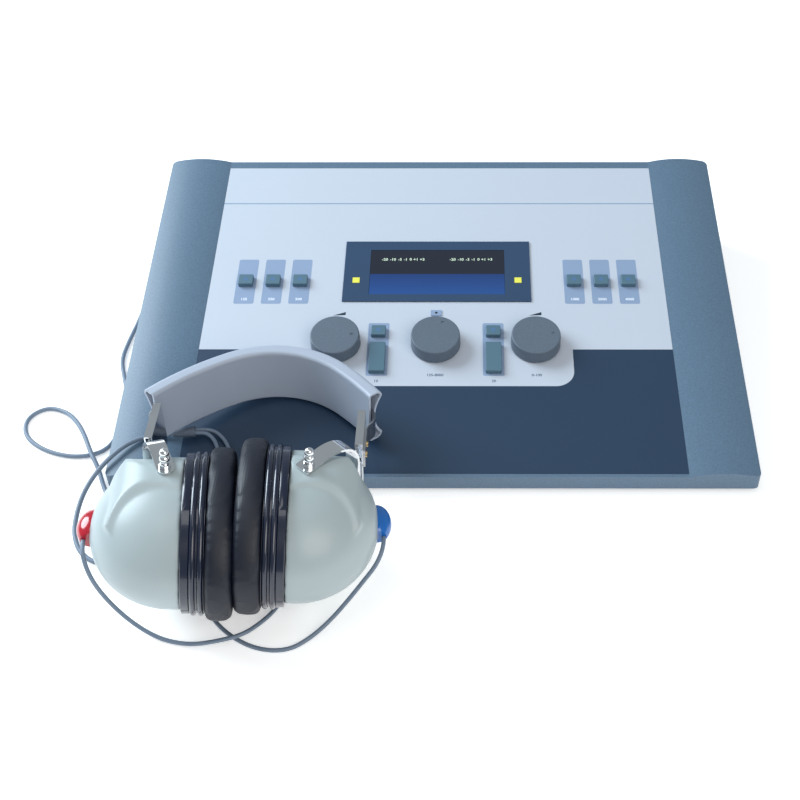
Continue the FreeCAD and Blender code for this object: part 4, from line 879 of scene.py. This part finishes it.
class AUDIOMETER_OT_headband(bpy.types.Operator):
    """Sleeve, spring band, channels, stems, clevises and yokes"""

    bl_idname = "audiometer.headband"
    bl_label = "Headband"

    def execute(self, context):
        looks = headset_looks()
        vinyl = moulded("sleeve_vinyl", tuple(looks.sleeve), 0.38, grain_depth=0.01, mottle=0.03)
        give(vinyl, "headband_sleeve")
        give(plated("spring_steel", (0.55, 0.56, 0.58), 0.22), "spring_band")
        chrome = plated("bright_chrome", (0.86, 0.87, 0.89), 0.05)
        give(chrome, "stem_left", "stem_right")
        give(plated("channel_chrome", (0.8, 0.81, 0.84), 0.1), "slider_channels")
        for side in SIDES:
            give(chrome, f"clevis_{side}", f"clevis_pins_{side}", f"yoke_{side}", f"stud_bolts_{side}")
        give(plated("rivet_brass", (0.72, 0.52, 0.26), 0.2), "channel_rivets")
        give(moulded("splitter_grey", display_colour(88, 98, 112), 0.5), "cable_splitter")
        return {"FINISHED"}


SHELL_GRID = 0.9 * MM


class AUDIOMETER_OT_cup_shells(bpy.types.Operator):
    """Ear cup shells with softened creases, and the lead caps"""

    bl_idname = "audiometer.cup_shells"
    bl_label = "Cup shells"

    def execute(self, context):
        looks = headset_looks()
        shell_paint = moulded("shell_satin", tuple(looks.shell), 0.34, grain_depth=0.006, mottle=0.02)
        for side in SIDES:
            node = f"cup_shell_{side}"
            bm = bmesh.new()
            bm.from_mesh(frame["nodes"][node].data)
            bmesh.ops.remove_doubles(bm, verts=bm.verts, dist=1e-6)
            rough = finished(f"shell_blank_{side}", mesh_from("shell_blank", bm), None, shell_paint)
            add_modifier(rough, "REMESH", mode="VOXEL", voxel_size=SHELL_GRID)
            add_modifier(rough, "SMOOTH", factor=0.5, iterations=looks.shell_softness)
            mesh = baked(rough)
            bpy.data.objects.remove(rough)
            shell = finished(f"ear_shell_{side}", mesh, f"cup_{side}", shell_paint, sharp=math.pi)
            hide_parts(node)
        give(glossy("red_cap_gloss", tuple(looks.red_cap), 0.14), "lead_cap_left")
        give(glossy("blue_cap_gloss", tuple(looks.blue_cap), 0.14), "lead_cap_right")
        return {"FINISHED"}


# Rim and cushion profiles are in the cup's own frame: X from the rim's centre, and a radius.
RIM_ASPECT = 36.0 / 43.5
RIM_PLATE = (20.0 * MM, 42.5 * MM)
RIM_BACK = -11.0 * MM
RIM_EDGE = 0.4 * MM
RIB_RADIUS = 1.45 * MM
RIB_X = (-5.6 * MM, -9.3 * MM)
EAR_HOLE = 27.0 * MM
DRIVER_SEAT = -2.0 * MM


class AUDIOMETER_OT_rims(bpy.types.Operator):
    """Black rim plates with their ribs, and the earphone drivers"""

    bl_idname = "audiometer.rims"
    bl_label = "Rims"

    def execute(self, context):
        looks = headset_looks()
        rim = glossy("rim_gloss", tuple(looks.rim), 0.2, 0.6)
        for side in SIDES:
            bm = revolved(self.profile(), 96, (1, 1, RIM_ASPECT), CUP[side])
            piece = finished(f"rim_{side}", mesh_from(f"rim_{side}", bm), f"cup_{side}", rim)
            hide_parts(f"cup_ring_{side}")
        give(moulded("driver_black", (0.012, 0.012, 0.013), 0.6), "receiver_left", "receiver_right")
        return {"FINISHED"}

    def profile(self):
        """Plain band beside the shell, two round ribs, and the plate that the driver sits in."""
        hub, outer = RIM_PLATE
        shoulder = outer - RIM_EDGE
        points = [(0, hub), (0, shoulder), (-RIM_EDGE, outer), (RIB_X[0] + RIB_RADIUS + RIM_EDGE, outer)]
        for x in RIB_X:
            points += arc_points((x, shoulder), RIB_RADIUS, 0, 180, 10)
        points += [(RIM_BACK, shoulder), (RIM_BACK, EAR_HOLE)]
        points += [(DRIVER_SEAT, EAR_HOLE), (DRIVER_SEAT, hub)]
        return points


CUSHION_BACK = -11.0 * MM
CUSHION_FRONT = -24.6 * MM
CUSHION_SCALE = (1.0, 47.6 * MM, 37.4 * MM)
CLOTH_GRID = 2.5 * MM
CLOTH_STEPS = 20
CLOTH_PRESSURE = 4.0
CLOTH_CAP = 1.0 * MM


class AUDIOMETER_OT_cushions(bpy.types.Operator):
    """Foam cushions in soft covers"""

    bl_idname = "audiometer.cushions"
    bl_label = "Ear cushions"

    def execute(self, context):
        looks = headset_looks()
        colour = tuple(looks.cushion)
        cover = Finish("cushion_cover", colour, 0.5)
        crease = cover.noise(260.0, 4.0, 0.6)
        leather = cover.node(
            "ShaderNodeTexVoronoi", {}, {"Vector": cover.place(), "Scale": 1400.0}, "Distance"
        )
        cover.set("Base Color", cover.mixed(crease, scaled(colour, 0.8), scaled(colour, 1.25)))
        cover.set("Roughness", 0.44 + crease * 0.14)
        cover.bump(leather * 0.5 + crease, 0.35, 0.05 * MM)
        for side in SIDES:
            name, body = f"cushion_{side}", f"cup_{side}"
            mesh = mesh_from(name, revolved(self.profile(), 72, CUSHION_SCALE, CUP[side]))
            cushion = finished(name, mesh, body, cover.material, sharp=math.pi)
            add_modifier(cushion, "SUBSURF", levels=2, render_levels=2)
            self.swell(cushion)
            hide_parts(f"ear_cushion_{side}")
        return {"FINISHED"}

    def profile(self):
        """Full outer side, flat front, and a lip that turns back into the ear hole."""
        back, front = CUSHION_BACK, CUSHION_FRONT
        points = [(back, 0.62), (back, 0.93), (back - 0.8 * MM, 0.975), (back - 3 * MM, 0.99)]
        points += [(front + 3.5 * MM, 0.99), (front + 1 * MM, 0.965), (front, 0.9), (front, 0.7)]
        points += [(front + 2.5 * MM, 0.62), (front + 6 * MM, 0.6)]
        return points

    def swell(self, cushion):
        """Blow the cover up for a few steps, and keep each point near its pattern."""
        add_modifier(cushion, "REMESH", mode="VOXEL", voxel_size=CLOTH_GRID)
        cushion.data = baked(cushion)
        cushion.modifiers.clear()
        pattern = [point.co.copy() for point in cushion.data.vertices]
        cloth = cushion.modifiers.new("cover", "CLOTH")
        cloth.settings.use_pressure = True
        cloth.settings.uniform_pressure_force = CLOTH_PRESSURE
        cloth.settings.effector_weights.gravity = 0
        for step in range(1, CLOTH_STEPS + 1):
            bpy.context.scene.frame_set(step)
        swollen = baked(cushion)
        cushion.modifiers.clear()
        for point, start in zip(swollen.vertices, pattern):
            move = point.co - start
            if move.length > CLOTH_CAP:
                move.length = CLOTH_CAP
            point.co = start + move
        cushion.data = swollen
        add_modifier(cushion, "SUBSURF", levels=1, render_levels=1)


# ---- stage ----
CAMERA_AXES = (
    (0.99999, 0.003722, -0.002495),
    (-0.000670, 0.674749, 0.738047),
    (0.004431, -0.738038, 0.674744),
)
CAMERA_SHIFT = -0.07825
FLOOR_HALF = 4
ROOM_COLOUR = (0.85, 0.95, 1.0, 1)


class AUDIOMETER_OT_camera(bpy.types.Operator):
    """Camera at the working view"""

    bl_idname = "audiometer.camera"
    bl_label = "Camera"

    def execute(self, context):
        looks = studio_looks()
        lens = bpy.data.cameras.new("view_camera")
        lens.lens = looks.lens
        lens.sensor_width = 36
        lens.shift_x = CAMERA_SHIFT
        lens.clip_start = 0.01
        lens.clip_end = 20
        camera = bpy.data.objects.new("view_camera", lens)
        x, y, z = (Vector(axis) for axis in CAMERA_AXES)
        camera.matrix_world = axes_matrix(x, y, z, Vector(looks.camera_place))
        context.scene.collection.objects.link(camera)
        context.scene.camera = camera
        return {"FINISHED"}


def area_light(name, place, size, power, colour=(1, 1, 1)):
    """Round soft light that faces the object."""
    lamp = bpy.data.lights.new(name, "AREA")
    lamp.shape = "DISK"
    lamp.size = size
    lamp.energy = power
    lamp.color = colour
    holder = bpy.data.objects.new(name, lamp)
    direction = -Vector(place)
    turn = direction.to_track_quat("-Z", "Y").to_matrix().to_4x4()
    holder.matrix_world = Matrix.Translation(place) @ turn
    bpy.context.scene.collection.objects.link(holder)


class AUDIOMETER_OT_studio(bpy.types.Operator):
    """Pale floor, soft lights and a pale room"""

    bl_idname = "audiometer.studio"
    bl_label = "Studio"

    def execute(self, context):
        looks = studio_looks()
        bm = bmesh.new()
        bmesh.ops.create_grid(bm, x_segments=1, y_segments=1, size=FLOOR_HALF)
        mesh = mesh_from("studio_floor", bm)
        floor = bpy.data.objects.new("studio_floor", mesh)
        paper = Finish("floor_paper", tuple(looks.floor), 0.8, emission_strength=looks.floor_glow)
        mesh.materials.append(paper.material)
        context.scene.collection.objects.link(floor)
        area_light("main_light", (-1.25, 0.6, 1.0), 1.2, looks.key_power, (0.80, 0.92, 1.0))
        area_light("fill_light", (0.9, -1.2, 1.3), 1.4, looks.fill_power, (1.0, 0.95, 0.9))
        area_light("top_light", (-0.2, -0.2, 1.8), 0.8, looks.top_power)
        world = bpy.data.worlds.new("studio_room")
        world.use_nodes = True
        room = world.node_tree.nodes["Background"]
        room.inputs["Color"].default_value = ROOM_COLOUR
        room.inputs["Strength"].default_value = looks.sky
        context.scene.world = world
        context.scene.view_settings.view_transform = "Standard"
        return {"FINISHED"}


class AUDIOMETER_PT_panel(bpy.types.Panel):
    """Sidebar list of the audiometer's pieces"""

    bl_idname = "AUDIOMETER_PT_panel"
    bl_label = "Audiometer"
    bl_space_type = "VIEW_3D"
    bl_region_type = "UI"
    bl_category = "Audiometer"

    def draw(self, context):
        for operator in OPERATORS:
            self.layout.operator(operator.bl_idname)
        for group in (console_looks(), headset_looks(), studio_looks()):
            box = self.layout.box()
            for name in group.__annotations__:
                box.prop(group, name)


LOOKS = {
    "audiometer_console": ConsoleLooks,
    "audiometer_headset": HeadsetLooks,
    "audiometer_studio": StudioLooks,
}
OPERATORS = (
    AUDIOMETER_OT_camera,
    AUDIOMETER_OT_cable,
    AUDIOMETER_OT_leads,
    AUDIOMETER_OT_case,
    AUDIOMETER_OT_panel_film,
    AUDIOMETER_OT_numbers,
    AUDIOMETER_OT_display,
    AUDIOMETER_OT_keys,
    AUDIOMETER_OT_knobs,
    AUDIOMETER_OT_headband,
    AUDIOMETER_OT_cup_shells,
    AUDIOMETER_OT_rims,
    AUDIOMETER_OT_cushions,
    AUDIOMETER_OT_studio,
)


def register():
    for looks in LOOKS.values():
        bpy.utils.register_class(looks)
    for operator in OPERATORS:
        bpy.utils.register_class(operator)
    bpy.utils.register_class(AUDIOMETER_PT_panel)
    for name, looks in LOOKS.items():
        setattr(bpy.types.Scene, name, bpy.props.PointerProperty(type=looks))


def unregister():
    for name in LOOKS:
        delattr(bpy.types.Scene, name)
    bpy.utils.unregister_class(AUDIOMETER_PT_panel)
    for operator in reversed(OPERATORS):
        bpy.utils.unregister_class(operator)
    for looks in LOOKS.values():
        bpy.utils.unregister_class(looks)


def main():
    register()
    for operator in OPERATORS:
        category, name = operator.bl_idname.split(".")
        getattr(getattr(bpy.ops, category), name)()


if __name__ == "__main__":
    main()
